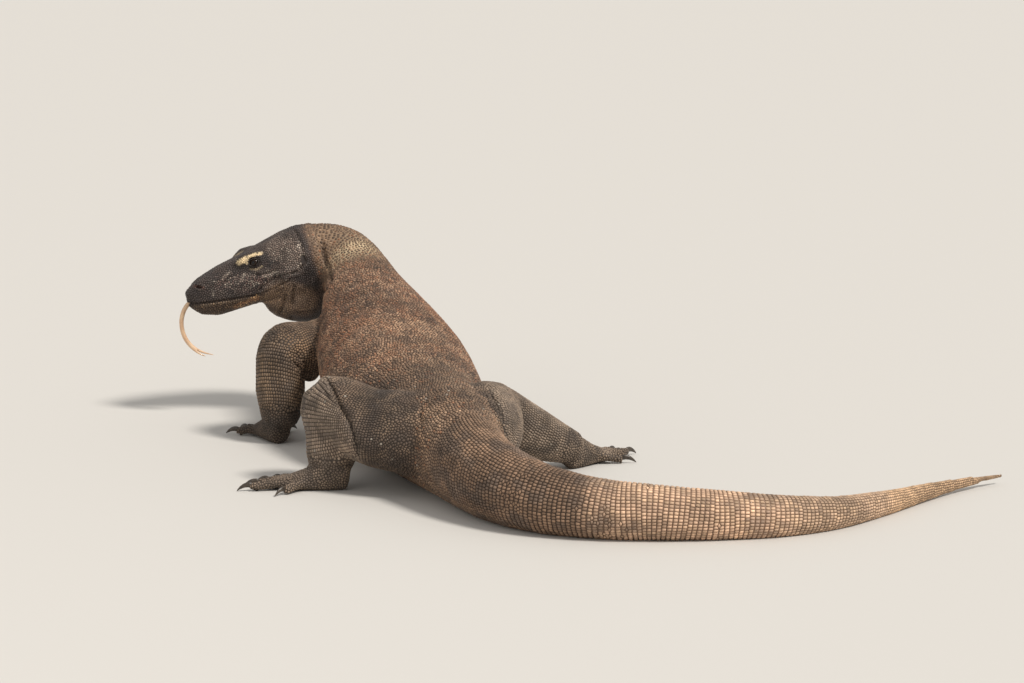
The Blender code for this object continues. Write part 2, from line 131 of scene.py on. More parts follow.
add_floor()
print("floor half width", FLOOR_HALF)

# %% [markdown]
# ## Sky and lamps
# A wide soft sun stands high on the right, so the folds and the beads of the scales throw short
# shadows to the left, and it lights the floor as evenly far away as near. A bright sky and one
# weak lamp fill the shadows. All three are a little warm, as late daylight is.

# %% Sky and lamps
SKY_COLOUR, SKY_STRENGTH = (1.0, 0.985, 0.96, 1), 0.55
LAMP_COLOUR = (1.0, 0.955, 0.89)
LAMP_AIM = Vector((0, 0, 0.1))
# kind, place, strength and size: a sun's size is an angle, and a disc's is in metres
LAMPS = {"key_sun": ("SUN", (2.2, -1.5, 3.4), 2.9, 0.22),
         "fill": ("AREA", (-3.0, -3.2, 1.8), 16, 2.6)}


def add_sky():
    world = bpy.data.worlds.new("studio")
    world.use_nodes = True
    tree = world.node_tree
    feed(tree, tree.nodes["Background"], {"Color": SKY_COLOUR, "Strength": SKY_STRENGTH})
    bpy.context.scene.world = world


def add_lamp(name, kind, place, strength, size):
    """A lamp that looks at the animal."""
    lamp = bpy.data.lights.new(name, kind)
    lamp.energy = strength
    lamp.color = LAMP_COLOUR
    if kind == "SUN":
        lamp.angle = size
    else:
        lamp.shape = "DISK"
        lamp.size = size
    made = new_object(name, lamp)
    made.location = place
    made.rotation_euler = (LAMP_AIM - Vector(place)).to_track_quat("-Z", "Y").to_euler()


add_sky()
for name, what in LAMPS.items():
    add_lamp(name, *what)
bpy.context.scene.view_settings.view_transform = "Standard"
print("lamps:", *LAMPS)

# %% [markdown]
# ## Landmarks of the head
# The head turns away from the body, so it gets axes of its own: left, up and ahead, from the
# tip of the snout. The eyes and the eardrums give them. On this animal the line from eardrum
# to eye climbs by eleven degrees from the line of the skull.

# %% Head axes
HEAD_LENGTH = 0.224
EYE_CLIMB = math.radians(10.9)
EYE_SHARE, EYE_HEIGHT = 0.593, 0.026
EAR_SHARE, EAR_HEIGHT = 0.965, 0.010
EYE_RADIUS = 0.0098


def middle_of(*names):
    """The middle of the boxes of those solids."""
    corners = [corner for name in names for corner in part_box(name)]
    return sum(corners, Vector()) / len(corners)


def head_axes():
    """Snout tip, then the directions to the animal's left, up and ahead."""
    eyes, ears = middle_of("left_eye", "right_eye"), middle_of("left_eardrum", "right_eardrum")
    left = (middle_of("left_eye") - middle_of("right_eye")).normalized()
    rising = (eyes - ears).normalized()
    above = left.cross(rising)
    above = above if above.z > 0 else -above
    ahead = rising * math.cos(EYE_CLIMB) - above * math.sin(EYE_CLIMB)
    up = above * math.cos(EYE_CLIMB) + rising * math.sin(EYE_CLIMB)
    snout = eyes - up * EYE_HEIGHT + ahead * EYE_SHARE * HEAD_LENGTH
    return snout, left, up, ahead


SNOUT, LEFT, UP, AHEAD = head_axes()
HEAD_FRAME = np.array([LEFT, UP, AHEAD])


def in_head(side, share, height):
    """The point that far to the left, at that share of the head from the snout, that high."""
    return SNOUT + LEFT * side + UP * height - AHEAD * share * HEAD_LENGTH


def head_places(points):
    """Side, share and height in the head for each point."""
    local = (points - np.array(SNOUT)) @ HEAD_FRAME.T
    return local[:, 0], -local[:, 2] / HEAD_LENGTH, local[:, 1]


print("snout", [round(x, 4) for x in SNOUT], "ahead", [round(x, 3) for x in AHEAD])

# %% [markdown]
# ## One skin
# Real skin runs over the whole animal without a seam. The solids are parted by cuts thinner
# than half a millimetre, so a copy of each is grown a little until they meet, and a voxel
# remesh makes them one form.

# %% Join the flesh
LEGS = {"foreleg": ["upper_arm", "forearm", "fore_foot"],
        "hind_leg": ["thigh", "shin", "hind_foot"]}
LIMBS = [side + part for side in ("left_", "right_") for leg in LEGS.values() for part in leg]
HEAD = ["head", "lower_jaw"]
BODY = ["neck", "trunk", "hips", "tail_base", "tail_middle", "tail_end", "tail_tip"]
FLESH = HEAD + BODY + LIMBS
GROWTH = 0.0006  # bridges the cuts
GRAIN = 0.0042  # edge of a voxel
MERGED = 1e-5  # corners nearer than this are one


def places_of(mesh):
    """Where each vertex of the mesh is."""
    points = np.zeros(len(mesh.vertices) * 3)
    mesh.vertices.foreach_get("co", points)
    return points.reshape(-1, 3)


def taken_mesh(thing):
    """The mesh of an object as its modifiers leave it; the object goes."""
    shown = thing.evaluated_get(bpy.context.evaluated_depsgraph_get())
    mesh = bpy.data.meshes.new_from_object(shown)
    bpy.data.objects.remove(thing)
    return mesh


def joined_flesh():
    """The flesh solids, grown until they meet and remeshed as one form."""
    form = bmesh.new()
    for name in FLESH:
        form.from_mesh(nodes[name].data)
    bmesh.ops.remove_doubles(form, verts=form.verts, dist=MERGED)
    form.normal_update()
    for vertex in form.verts:
        vertex.co += vertex.normal * GROWTH
    rough = mesh_object("rough_flesh", form)
    remesh = rough.modifiers.new("one_form", "REMESH")
    remesh.mode = "VOXEL"
    remesh.voxel_size = GRAIN
    return taken_mesh(rough)


flesh = joined_flesh()
print("one form of", len(flesh.polygons), "faces")

# %% [markdown]
# ## Smoothing without shrinking
# The remesh leaves facets and the marks of its voxels. Moving each vertex to the middle of its
# neighbours takes them away, but it also thins the toes and the snout. So each pass that pulls
# in is followed by one that pushes out a little more, and they keep their thickness. Away from
# the head and the feet, where nothing is small, the faces are then thinned.

# %% Smooth and thin the skin
SMOOTH_ROUNDS = 14
PUSH = 1.04  # how much stronger the push out is than the pull in
THINNED = 0.42  # share of the faces kept by thinning
FOOT_MARGIN = 0.01
HEAD_SPAN, HEAD_SIDE, HEAD_BOTTOM = (-0.06, 1.06), 0.09, -0.125


def put_places(mesh, points):
    """Moves the vertices of the mesh to those points."""
    mesh.vertices.foreach_set("co", points.astype(np.float32).ravel())
    mesh.update()


def edges_of(mesh):
    edges = np.zeros(len(mesh.edges) * 2, np.int32)
    mesh.edges.foreach_get("vertices", edges)
    return edges.reshape(-1, 2)


def spread(values, edges, rounds, share=0.5):
    """Each value moves towards the mean of its neighbours, that many rounds."""
    count = np.bincount(edges.ravel(), minlength=len(values)).astype(float)
    values = values.astype(float).copy()
    flat = values.reshape(len(values), -1)
    for _ in range(rounds):
        for column in flat.T:
            total = (np.bincount(edges[:, 0], column[edges[:, 1]], len(values))
                     + np.bincount(edges[:, 1], column[edges[:, 0]], len(values)))
            column += share * (total / np.maximum(count, 1) - column)
    return values


def even_out(points, edges, rounds, share=0.5):
    """Smooths without thinning: a pull in, then a slightly larger push out."""
    for _ in range(rounds):
        points = spread(points, edges, 1, share)
        points = spread(points, edges, 1, -share * PUSH)
    return points


def thinned(mesh, fine_places):
    """Fewer faces where nothing small is, and all of them at the fine places."""
    even = new_object("even_flesh", mesh)
    group = even.vertex_groups.new(name="plain")
    plain = np.flatnonzero(~fine_places(places_of(mesh)))
    group.add(plain.tolist(), 1.0, "REPLACE")
    fewer = even.modifiers.new("fewer_faces", "DECIMATE")
    fewer.ratio = THINNED
    fewer.vertex_group = "plain"
    fewer.vertex_group_factor = 10
    return taken_mesh(even)


def on_feet(points):
    """Which points lie in the box of a foot or just outside it."""
    found = np.zeros(len(points), bool)
    for name in LIMBS:
        if "foot" in name:
            low, high = (np.array(corner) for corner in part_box(name))
            found |= ((points > low - FOOT_MARGIN) & (points < high + FOOT_MARGIN)).all(axis=1)
    return found


def on_head(points):
    """Which points lie in a box round the head, the throat and the start of the neck."""
    side, share, height = head_places(points)
    along = (share > HEAD_SPAN[0]) & (share < HEAD_SPAN[1])
    return along & (np.abs(side) < HEAD_SIDE) & (height > HEAD_BOTTOM)


put_places(flesh, even_out(places_of(flesh), edges_of(flesh), SMOOTH_ROUNDS))
flesh = thinned(flesh, lambda points: on_head(points) | on_feet(points))
print("skin before detail:", len(flesh.polygons), "faces")

# %% [markdown]
# ## Finer skin on the head
# The head needs lids, nostrils and lips, which are far smaller than a voxel. Its edges are
# cut in half once, and again around the eyes, the nostrils, the ears and the mouth.

# %% Refine the head
MOUTH_LINE = ((-0.10, -0.0150), (0.02, -0.0156), (0.30, -0.0245), (0.54, -0.0305),
              (0.68, -0.0265), (0.80, -0.0180), (1.2, 0.010))
NOSTRIL_SHARE, NOSTRIL_HEIGHT = 0.11, 0.0112
EYES = ("left_eye", "right_eye")
# how far the finest skin reaches: over the lips, round the spots on the head, and on the lids
LIP_BAND, LIP_BAND_END = 0.008, 0.84
FINE_SPOTS = ((EYE_SHARE, EYE_HEIGHT, 0.020), (NOSTRIL_SHARE, NOSTRIL_HEIGHT, 0.010),
              (EAR_SHARE, EAR_HEIGHT, 0.016))
BESIDE_MIDDLE = 0.012
LID_PATCH = 0.0165


def mouth_height(share):
    return np.interp(share, *zip(*MOUTH_LINE))


def refine(form, wanted):
    """Cuts in half each edge whose two ends are wanted."""
    points = np.array([vertex.co for vertex in form.verts])
    chosen = wanted(points)
    form.verts.ensure_lookup_table()
    form.verts.index_update()
    edges = [edge for edge in form.edges
             if chosen[edge.verts[0].index] and chosen[edge.verts[1].index]]
    bmesh.ops.subdivide_edges(form, edges=edges, cuts=1, use_grid_fill=True, smooth=0)


def on_features(points):
    """Which points lie on the lips or round an eye, a nostril or an ear."""
    side, share, height = head_places(points)
    found = np.zeros(len(points), bool)
    for at, up, reach in FINE_SPOTS:
        found |= np.hypot((share - at) * HEAD_LENGTH, height - up) < reach
    found &= np.abs(side) > BESIDE_MIDDLE
    found |= (np.abs(height - mouth_height(share)) < LIP_BAND) & (share < LIP_BAND_END)
    return found & on_head(points)


def far_from(name, points):
    """How far each point is from the middle of a small solid."""
    return np.linalg.norm(points - np.array(middle_of(name)), axis=1)


def on_lids(points):
    """Which points lie on a lid or just beside it."""
    return np.minimum(*(far_from(name, points) for name in EYES)) < LID_PATCH


def refine_skin(tests, rounds):
    """Refines the skin where each test in turn says, and smooths it there by the first."""
    form = bmesh.new()
    form.from_mesh(flesh)
    for wanted in tests:
        refine(form, wanted)
    bmesh.ops.triangulate(form, faces=[face for face in form.faces if len(face.verts) > 4])
    form.to_mesh(flesh)
    form.free()
    points = places_of(flesh)
    smoothed = even_out(points, edges_of(flesh), rounds)
    return np.where(tests[0](points)[:, None], smoothed, points)


put_places(flesh, refine_skin((on_head, on_features, on_lids), 8))
print("skin with a fine head:", len(flesh.polygons), "faces")

# %% [markdown]
# ## Nostrils, ears, lips and throat
# These are moves of the skin's own vertices, as a sculptor's thumb and knife make them.
# Nostrils and ears are pits with a raised rim. The mouth is a narrow groove between two full
# lips, and behind the jaw the loose throat sags on to the shoulder.

# %% Sculpt the head
# half lengths and half heights of the pits, and heights of their rims
NOSTRIL_SIZE, NOSTRIL_DEPTH, NOSTRIL_RIM = (0.0066, 0.0034), 0.0058, 0.0011
NOSTRIL_TIP = math.radians(20)  # its front end stands higher
EAR_SIZE, EAR_RIM = (0.0056, 0.0092), 0.0010
EAR_FLOOR = 0.0578  # from the middle of the head to the bottom of the ear's pit
OFF_MIDDLE, FAR_OFF_MIDDLE = 0.008, 0.03  # where a nostril and an ear may be, from the middle
PIT_RIM, PIT_RIM_WIDTH = 1.4, 0.35  # where the rim of a pit stands, in sizes of the pit
MOUTH_DEPTH, MOUTH_WIDTH, MOUTH_END = 0.0030, 0.0017, (0.85, 0.79)
LIP_RISE, LIP_PLACE, LIP_WIDTH = 0.0010, 0.0046, 0.0026
THROAT_SAG, SAG_SHARE, SAG_LENGTH, SAG_WIDTH = 0.016, 0.98, 0.17, 0.06
SAG_HEIGHTS = (-0.03, -0.10)  # none, and the full sag


def bump(distance, width):
    """1 in the middle, and nearly nothing two widths away."""
    return np.exp(-(distance / width) ** 2)


def fade(values, start, end):
    """A smooth change from 0 at the start to 1 at the end."""
    share = np.clip((values - start) / (end - start), 0, 1)
    return share * share * (3 - 2 * share)


def normals_of(mesh):
    normals = np.zeros(len(mesh.vertices) * 3, np.float32)
    mesh.vertices.foreach_get("normal", normals)
    return normals.reshape(-1, 3).astype(float)


def skin_normals(points):
    """The way the skin faces at each vertex, once it is moved there."""
    put_places(flesh, points)
    return normals_of(flesh)


def carve_nostrils(points, normals):
    side, share, height = head_places(points)
    back, above = (share - NOSTRIL_SHARE) * HEAD_LENGTH, height - NOSTRIL_HEIGHT
    along, across = (back * math.cos(NOSTRIL_TIP) - above * math.sin(NOSTRIL_TIP),
                     back * math.sin(NOSTRIL_TIP) + above * math.cos(NOSTRIL_TIP))
    reach = np.hypot(along / NOSTRIL_SIZE[0], across / NOSTRIL_SIZE[1])
    outer = np.abs(side) > OFF_MIDDLE
    depth = (-NOSTRIL_DEPTH * (1 - fade(reach, 0.45, 1.0))
             + NOSTRIL_RIM * bump(reach - PIT_RIM, PIT_RIM_WIDTH))
    return points + normals * (depth * outer * on_head(points))[:, None]


def carve_ears(points, normals):
    side, share, height = head_places(points)
    along = (share - EAR_SHARE) * HEAD_LENGTH
    reach = np.hypot(along / EAR_SIZE[0], (height - EAR_HEIGHT) / EAR_SIZE[1])
    outer = on_head(points) & (np.abs(side) > FAR_OFF_MIDDLE)
    rim = EAR_RIM * bump(reach - PIT_RIM, PIT_RIM_WIDTH)
    moved = points + normals * (rim * outer)[:, None]
    above_floor = np.maximum(np.abs(side) - EAR_FLOOR, 0)
    sunk = above_floor * np.sign(side) * outer * (1 - fade(reach, 0.7, 1.05))
    return moved - sunk[:, None] * np.array(LEFT)


def cut_mouth(points, normals):
    _, share, height = head_places(points)
    off = height - mouth_height(share)
    shown = fade(share, *MOUTH_END) * on_head(points)
    depth = (-MOUTH_DEPTH * bump(off, MOUTH_WIDTH)
             + LIP_RISE * bump(np.abs(off) - LIP_PLACE, LIP_WIDTH))
    return points + normals * (depth * shown)[:, None]


def hang_throat(points):
    """The loose throat sags on to the shoulder behind the jaw."""
    side, share, height = head_places(points)
    sag = np.exp(-((share - SAG_SHARE) / SAG_LENGTH) ** 2 - (side / SAG_WIDTH) ** 2)
    sag = sag * fade(height, *SAG_HEIGHTS)
    return points - (THROAT_SAG * sag)[:, None] * np.array(UP)


points = hang_throat(places_of(flesh))
for move in (cut_mouth, carve_nostrils, carve_ears):
    points = move(points, skin_normals(points))
print("throat, mouth, nostrils and ears moved", len(points), "places")

# %% [markdown]
# ## Lids
# Round each eye the skin is laid on a ball a little larger than the eye, with an oval opening
# whose rim is sharp, and inside it the skin drops behind the eye. Laying it on a ball is surer
# than modelling lids by hand, since the lids then fit the eye whatever the skin was before.

# %% Lids
GAZE = {"left_eye": 1, "right_eye": -1}  # which side each eye looks to
GAZE_UP, GAZE_AHEAD = 0.38, 0.34
EYE_OPENING = (0.0080, 0.0064)  # half its length and half its height
LID = 0.0012  # thickness of a lid
LID_RIM = 0.0007  # how far its rim stands out
LID_REACH = (0.0185, 0.0120)  # from the eye's centre: where a lid starts, and where it is full
LID_HOLD = 0.0088  # from the gaze: within it the lid lies right on the ball
SOCKET_DEPTH = 0.003  # of the skin behind the ball's front
RIM_PLACE, RIM_WIDTH, RIM_CAUGHT = 1.12, 0.16, 1.14  # in sizes of the opening


def eye_axes(name):
    """The eye's centre, and the directions of its gaze, its front corner and its top."""
    gaze = (LEFT * GAZE[name] + UP * GAZE_UP + AHEAD * GAZE_AHEAD).normalized()
    front = (AHEAD - gaze * AHEAD.dot(gaze)).normalized()
    top = gaze.cross(front)
    top = top if top.dot(UP) > 0 else -top
    return [np.array(axis) for axis in (middle_of(name), gaze, front, top)]


def lay_lids(points, name):
    """Lays the skin round an eye on a ball, and sinks what lies inside the opening."""
    centre, gaze, front, top = eye_axes(name)
    offset = points - centre
    far = np.linalg.norm(offset, axis=1)
    outward = offset @ gaze
    across, above = offset @ front, offset @ top
    tangent = np.hypot(across, above)
    opening = np.hypot(across / EYE_OPENING[0], above / EYE_OPENING[1])
    facing = outward > -0.002
    ball = EYE_RADIUS + LID
    on_ball = (opening >= 1) & facing & (tangent < ball)
    # a lid keeps its place across the gaze, and takes the ball's height along it
    rim = LID_RIM * bump(opening - RIM_PLACE, RIM_WIDTH)
    over = np.sqrt(np.maximum((ball + rim) ** 2 - tangent ** 2, 0)) - outward
    pull = np.where(facing, fade(far, *LID_REACH), 0)
    lift = np.where(on_ball, over * fade(tangent, ball, LID_HOLD), 0) * pull
    moved = points + gaze * lift[:, None]
    inner = (opening < 1) & facing & (far < 0.02)
    sunk = np.sqrt(np.maximum((EYE_RADIUS - SOCKET_DEPTH) ** 2 - tangent ** 2, 0)) - outward
    moved[inner] = points[inner] + gaze * sunk[inner, None]
    # what lies just outside the rim is drawn on to it, which makes the rim sharp
    shrink = (1 / opening - 1) * (on_ball & (opening < RIM_CAUGHT))
    moved += front * (across * shrink)[:, None] + top * (above * shrink)[:, None]
    return moved


for name in EYES:
    points = lay_lids(points, name)
put_places(flesh, points)
print("opening of an eye", [round(half * 2000, 1) for half in EYE_OPENING], "mm")

# %% [markdown]
# ## Which part each place belongs to
# Scales differ from part to part, so the skin has to know its parts. Each place takes the
# name of the solid that lies nearest. A tree of all the solids' faces finds it quickly.

# %% Owners
def owner_tree(names):
    """A tree of the solids' faces, and the number of each face's solid."""
    corners, faces, owners = [], [], []
    for number, name in enumerate(names):
        mesh = nodes[name].data
        start = len(corners)
        corners += [vertex.co.copy() for vertex in mesh.vertices]
        faces += [[start + v for v in face.vertices] for face in mesh.polygons]
        owners += [number] * len(mesh.polygons)
    return BVHTree.FromPolygons(corners, faces), owners


def owners_of(points):
    """The number of the solid nearest to each point."""
    return np.array([OWNER_OF_FACE[OWNERS.find_nearest(point)[2]] for point in points])


OWNERS, OWNER_OF_FACE = owner_tree(FLESH)
owner = owners_of(places_of(flesh))
part_number = {name: number for number, name in enumerate(FLESH)}
print({name: int((owner == number).sum()) for name, number in part_number.items()})

# %% [markdown]
# ## A line through each part
# Scales lie in rings round the body, as threads wind round a bobbin, so each part needs the
# line that the rings wind round. Half way between two ends a plane across the line cuts the
# skin, and the middle of that cut is one place on the line. The halves are halved in the same
# way until they are short, and the line is then made smooth.

# %% Centre lines
STATION_STEP = 0.008
LONGEST_CHORD = 0.06
SLICE, SLICE_REACH = 0.006, 0.2  # half the thickness of a slice of skin, and how wide it may be
BODY_ROUNDS, LIMB_ROUNDS = 12, 60  # of rounding a line through many parts, and through one
TOUCH = 0.002  # solids this near meet
OVER_KNEE = 0.08


def resampled(line, step):
    """Points at even steps along a line."""
    steps = np.linalg.norm(np.diff(line, axis=0), axis=1)
    along = np.concatenate([[0], np.cumsum(steps)])
    count = max(5, round(along[-1] / step) + 1)
    wanted = np.linspace(0, along[-1], count)
    return np.stack([np.interp(wanted, along, line[:, axis]) for axis in range(3)], axis=1)


def rounded(line, rounds):
    """The line with its bends made softer, and its ends where they were."""
    for _ in range(rounds):
        line[1:-1] = (line[:-2] + 2 * line[1:-1] + line[2:]) / 4
    return line


def halved(first, last, around):
    """Stations between two ends: where the plane half way cuts the skin, its middle is one."""
    chord = last - first
    length = np.linalg.norm(chord)
    if length < LONGEST_CHORD:
        return []
    middle = (first + last) / 2
    gap = np.abs((around - middle) @ (chord / length))
    close = around[(gap < SLICE) & (np.linalg.norm(around - middle, axis=1) < SLICE_REACH)]
    if len(close) > 8:
        middle = (close.max(0) + close.min(0) + 2 * close.mean(0)) / 4
    return halved(first, middle, around) + [middle] + halved(middle, last, around)


class Line:
    """A line down the middle of some parts, with a direction, an up and a side all along."""

    def __init__(self, parts, joints):
        self.parts = [part_number[name] for name in parts]
        stations = [joints[0]]
        for name, first, last in zip(parts, joints, joints[1:]):
            around = SKIN_POINTS[owner == part_number[name]]
            stations += halved(first, last, around) + [last]
        even = resampled(np.array(stations), STATION_STEP)
        self.points = rounded(even, BODY_ROUNDS if len(parts) > 1 else LIMB_ROUNDS)
        ahead = np.gradient(self.points, axis=0)
        self.ahead = ahead / np.linalg.norm(ahead, axis=1)[:, None]
        flat = np.abs(self.ahead[:, 2]).mean() < 0.8
        above = np.array([0, 0, 1.0]) if flat else np.array([0, -1.0, 0])
        side = np.cross(self.ahead, above)
        self.side = side / np.linalg.norm(side, axis=1)[:, None]
        self.up = np.cross(self.side, self.ahead)
        steps = np.linalg.norm(np.diff(self.points, axis=0), axis=1)
        self.along = np.concatenate([[0], np.cumsum(steps)])
        self.length = self.along[-1]

    def place(self, points):
        """How far along the line each point lies, and its angle round it from the top."""
        nearest = np.argmin(((points[:, None] - self.points[None]) ** 2).sum(2), axis=1)
        offset = points - self.points[nearest]
        along = self.along[nearest] + (offset * self.ahead[nearest]).sum(1)
        angle = np.arctan2((offset * self.side[nearest]).sum(1),
                           (offset * self.up[nearest]).sum(1))
        return np.clip(along, 0, self.length), angle

    def at(self, along):
        """Centre, direction, up and side at that distance along the line."""
        return [np.array([np.interp(along, self.along, rows[:, axis]) for axis in range(3)])
                for rows in (self.points, self.ahead, self.up, self.side)]


def tree_of(points):
    tree = KDTree(len(points))
    for number, point in enumerate(points):
        tree.insert(point, number)
    tree.balance()
    return tree


def meeting(one, other):
    """The middle of where two neighbouring parts all but touch."""
    tree = tree_of(places_of(nodes[other].data))
    close = np.array([v.co for v in nodes[one].data.vertices if tree.find(v.co)[2] < TOUCH])
    return (close.max(0) + close.min(0)) / 2


def far_end(part, start):
    """The place on a part that is farthest from where it starts."""
    points = places_of(nodes[part].data)
    return points[np.argmax(np.linalg.norm(points - start, axis=1))]


SKIN_POINTS = places_of(flesh)
spine_joints = [np.array(in_head(0, 1.04, -0.002))]
spine_joints += [meeting(a, b) for a, b in zip(BODY, BODY[1:])]
spine_joints.append(far_end("tail_tip", spine_joints[-1]))
LINES = {"spine": Line(BODY, spine_joints),
         "skull": Line(["head"], [np.array(in_head(0, 0.0, -0.008)),
                                  np.array(in_head(0, 1.06, -0.002))])}
for side in ("left_", "right_"):
    for leg, body_part in (("foreleg", "trunk"), ("hind_leg", "hips")):
        parts = [side + part for part in LEGS[leg]]
        joints = [meeting(a, b) for a, b in zip([body_part] + parts, parts)]
        joints.append(far_end(parts[-1], joints[-1]))
        for part, first, last in zip(parts, joints, joints[1:]):
            if "shin" in part:  # its hide runs on over the knee
                first = first + (first - last) * OVER_KNEE / np.linalg.norm(first - last)
            LINES[part] = Line([part], [first, last])
print({name: round(line.length, 3) for name, line in LINES.items()})

# %% [markdown]
# ## Folds of the hide
# A monitor wears its hide a size too large. It folds in a sharp line where a limb bends, behind
# the cheek, under the throat and between flank and thigh. Each fold here is a path over the
# skin, given in the head, round the spine, or in the box of a limb's solid. A ray or the nearest
# place on the skin then finds where each point of the path lies.

# %% Paths of the folds
# each has its path, its width and its depth; in the head a path is share and height
HEAD_FOLDS = (
    (((0.969, 0.0615), (0.983, 0.0542), (0.985, 0.0420), (0.981, 0.0263), (0.972, 0.0118),
      (0.952, 0.0021), (0.910, -0.0053), (0.859, -0.0063)), 0.0024, 0.0034),  # behind the cheek
    (((0.904, -0.0082), (0.833, -0.0051), (0.765, -0.0062), (0.692, -0.0094),
      (0.629, -0.0143), (0.572, -0.0207), (0.529, -0.0300)), 0.0020, 0.0026),  # over the lip
    (((0.56, 0.0070), (0.62, 0.0035), (0.70, 0.0040), (0.78, 0.0085)),
     0.0022, 0.0016),  # under the eye
    (((0.20, 0.0040), (0.35, 0.0100), (0.47, 0.0160)), 0.0070, 0.0020),  # hollow of the snout
    (((0.843, -0.0317), (0.804, -0.0571), (0.747, -0.0923)), 0.0030, 0.0042),  # throat
    (((0.763, -0.0450), (0.720, -0.0620), (0.673, -0.0763)), 0.0028, 0.0032),
    (((0.700, -0.0300), (0.780, -0.0340), (0.860, -0.0400)), 0.0026, 0.0026),
    (((0.790, -0.0800), (0.860, -0.0850), (0.941, -0.0880)), 0.0026, 0.0028),
    (((0.546, -0.0484), (0.626, -0.0478), (0.708, -0.0459)), 0.0026, 0.0024))
# round the spine a path is share of its length, and degrees from the top; only the left side
# of the body folds, because the animal bends to its left
SPINE_FOLDS = (
    (((0.008, 50), (0.032, 58), (0.058, 63), (0.080, 60)), 0.0036, 0.0050),  # side of the neck
    (((0.050, 112), (0.064, 92), (0.084, 69)), 0.0044, 0.0050),  # neck to chest
    (((0.402, 36), (0.408, 46), (0.418, 56)), 0.0034, 0.0040),  # dent of the hip
    (((0.112, 66), (0.116, 55), (0.122, 36), (0.123, 14)), 0.0090, 0.0015),  # soft wrinkles
    (((0.150, 56), (0.145, 42), (0.143, 25), (0.137, 10), (0.125, -20)), 0.0100, 0.0018),
    (((0.162, 62), (0.168, 50), (0.180, 34), (0.183, 18), (0.177, 0)), 0.0100, 0.0018),
    (((0.200, 58), (0.204, 45), (0.212, 28), (0.214, 10)), 0.0090, 0.0015))
# in a limb a path is shares of the sides of its solid's box
KNEE_FOLD_WIDTH = 0.0036
LIMB_FOLDS = (
    ("left_shin", ((0.49, 0.64, 0.99), (0.63, 0.40, 0.91), (0.78, 0.19, 0.73), (0.97, 0.02, 0.56),
                   (1.07, -0.07, 0.37), (1.10, -0.06, 0.22)), KNEE_FOLD_WIDTH, 0.0062),
    ("left_shin", ((0.42, 0.51, 0.93), (0.53, 0.36, 0.83), (0.68, 0.24, 0.75)), 0.0026, 0.0026),
    ("left_upper_arm", ((0.28, 0.02, 0.43), (0.37, 0.08, 0.34), (0.40, 0.11, 0.19),
                        (0.40, 0.10, 0.10)), 0.0032, 0.0046),  # elbow
    ("right_thigh", ((0.66, 0.01, 0.50), (0.62, 0.05, 0.63), (0.56, 0.12, 0.76),
                     (0.47, 0.23, 0.87), (0.35, 0.39, 0.95)), KNEE_FOLD_WIDTH, 0.0034))


PATH_STEP, PATH_ROUNDS = 0.003, 4
BODY_RAY, HEAD_RAY = 0.25, 0.12  # longer than from a centre line to the skin


def smooth_path(places):
    """The places that were found, joined by a rounded path."""
    found = np.array([place for place in places if place is not None])
    return rounded(resampled(found, PATH_STEP), PATH_ROUNDS)


def place_on_line(name, share, degrees):
    """Where the ray at that angle from the top meets the skin."""
    centre, _, up, side = LINES[name].at(share * LINES[name].length)
    turn = math.radians(degrees)
    ray = up * math.cos(turn) + side * math.sin(turn)
    return SKIN_TREE.ray_cast(centre, ray, BODY_RAY)[0]


def fold_paths():
    """Where each fold runs over the skin, with its width and depth."""
    paths = []
    for sign in (-1, 1):
        for path, width, depth in HEAD_FOLDS:
            hits = [SKIN_TREE.ray_cast(in_head(0, *place), LEFT * sign, HEAD_RAY)[0]
                    for place in path]
            paths.append((smooth_path(hits), width, depth))
    for path, width, depth in SPINE_FOLDS:
        hits = [place_on_line("spine", share, turn) for share, turn in path]
        paths.append((smooth_path(hits), width, depth))
    for name, path, width, depth in LIMB_FOLDS:
        low, high = (np.array(corner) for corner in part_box(name))
        hits = [SKIN_TREE.find_nearest(low + (high - low) * place)[0] for place in path]
        paths.append((smooth_path(hits), width, depth))
    return paths


def tree_of_skin():
    flesh.calc_loop_triangles()
    corners = [tuple(triangle.vertices) for triangle in flesh.loop_triangles]
    return BVHTree.FromPolygons(places_of(flesh).tolist(), corners)


SKIN_TREE = tree_of_skin()
FOLDS = fold_paths()
print(len(FOLDS), "folds, the longest of", max(len(path) for path, _, _ in FOLDS), "steps")

# %% [markdown]
# ## Pressing the folds
# The skin is made finer along each narrow path, and then pressed into a groove with a soft roll
# on both sides. The groove grows shallow towards its ends, so that it dies away in the hide.

# %% Press the folds
SOFT_FOLD = 0.006  # the skin is fine enough already for folds as wide as this
FINE_WIDTHS = 3.2  # how far from the path the skin is made finer, in widths of the fold
ROLL, ROLL_PLACE, ROLL_WIDTH = 0.22, 2.6, 1.6  # its height in depths, and the rest in widths
END_DEPTH, END_WIDTHS = 0.25, 3  # how deep a fold ends, and how long it takes to get there


def distance_to(path, points):
    """How far each point is from a path."""
    nearest = np.full(len(points), 1.0)
    for start, end in zip(path, path[1:]):
        step = end - start
        share = np.clip((points - start) @ step / (step @ step), 0, 1)
        gap = np.linalg.norm(points - start - share[:, None] * step, axis=1)
        nearest = np.minimum(nearest, gap)
    return nearest


def near_folds(points):
    """Which points lie near a fold that needs a finer skin."""
    found = np.zeros(len(points), bool)
    for path, width, _ in FOLDS:
        if width < SOFT_FOLD and not on_head(path).all():
            found |= distance_to(path, points) < FINE_WIDTHS * width
    return found


def folded(points, normals, path, width, depth):
    """A groove along a path, with a soft roll on either side. It fades out at both ends."""
    far = distance_to(path, points)
    ends = np.minimum(*(np.linalg.norm(points - end, axis=1) for end in (path[0], path[-1])))
    shape = ROLL * bump(far - ROLL_PLACE * width, ROLL_WIDTH * width) - bump(far, width)
    deep = depth * (END_DEPTH + (1 - END_DEPTH) * fade(ends, 0, END_WIDTHS * width))
    return points + normals * (deep * shape)[:, None]


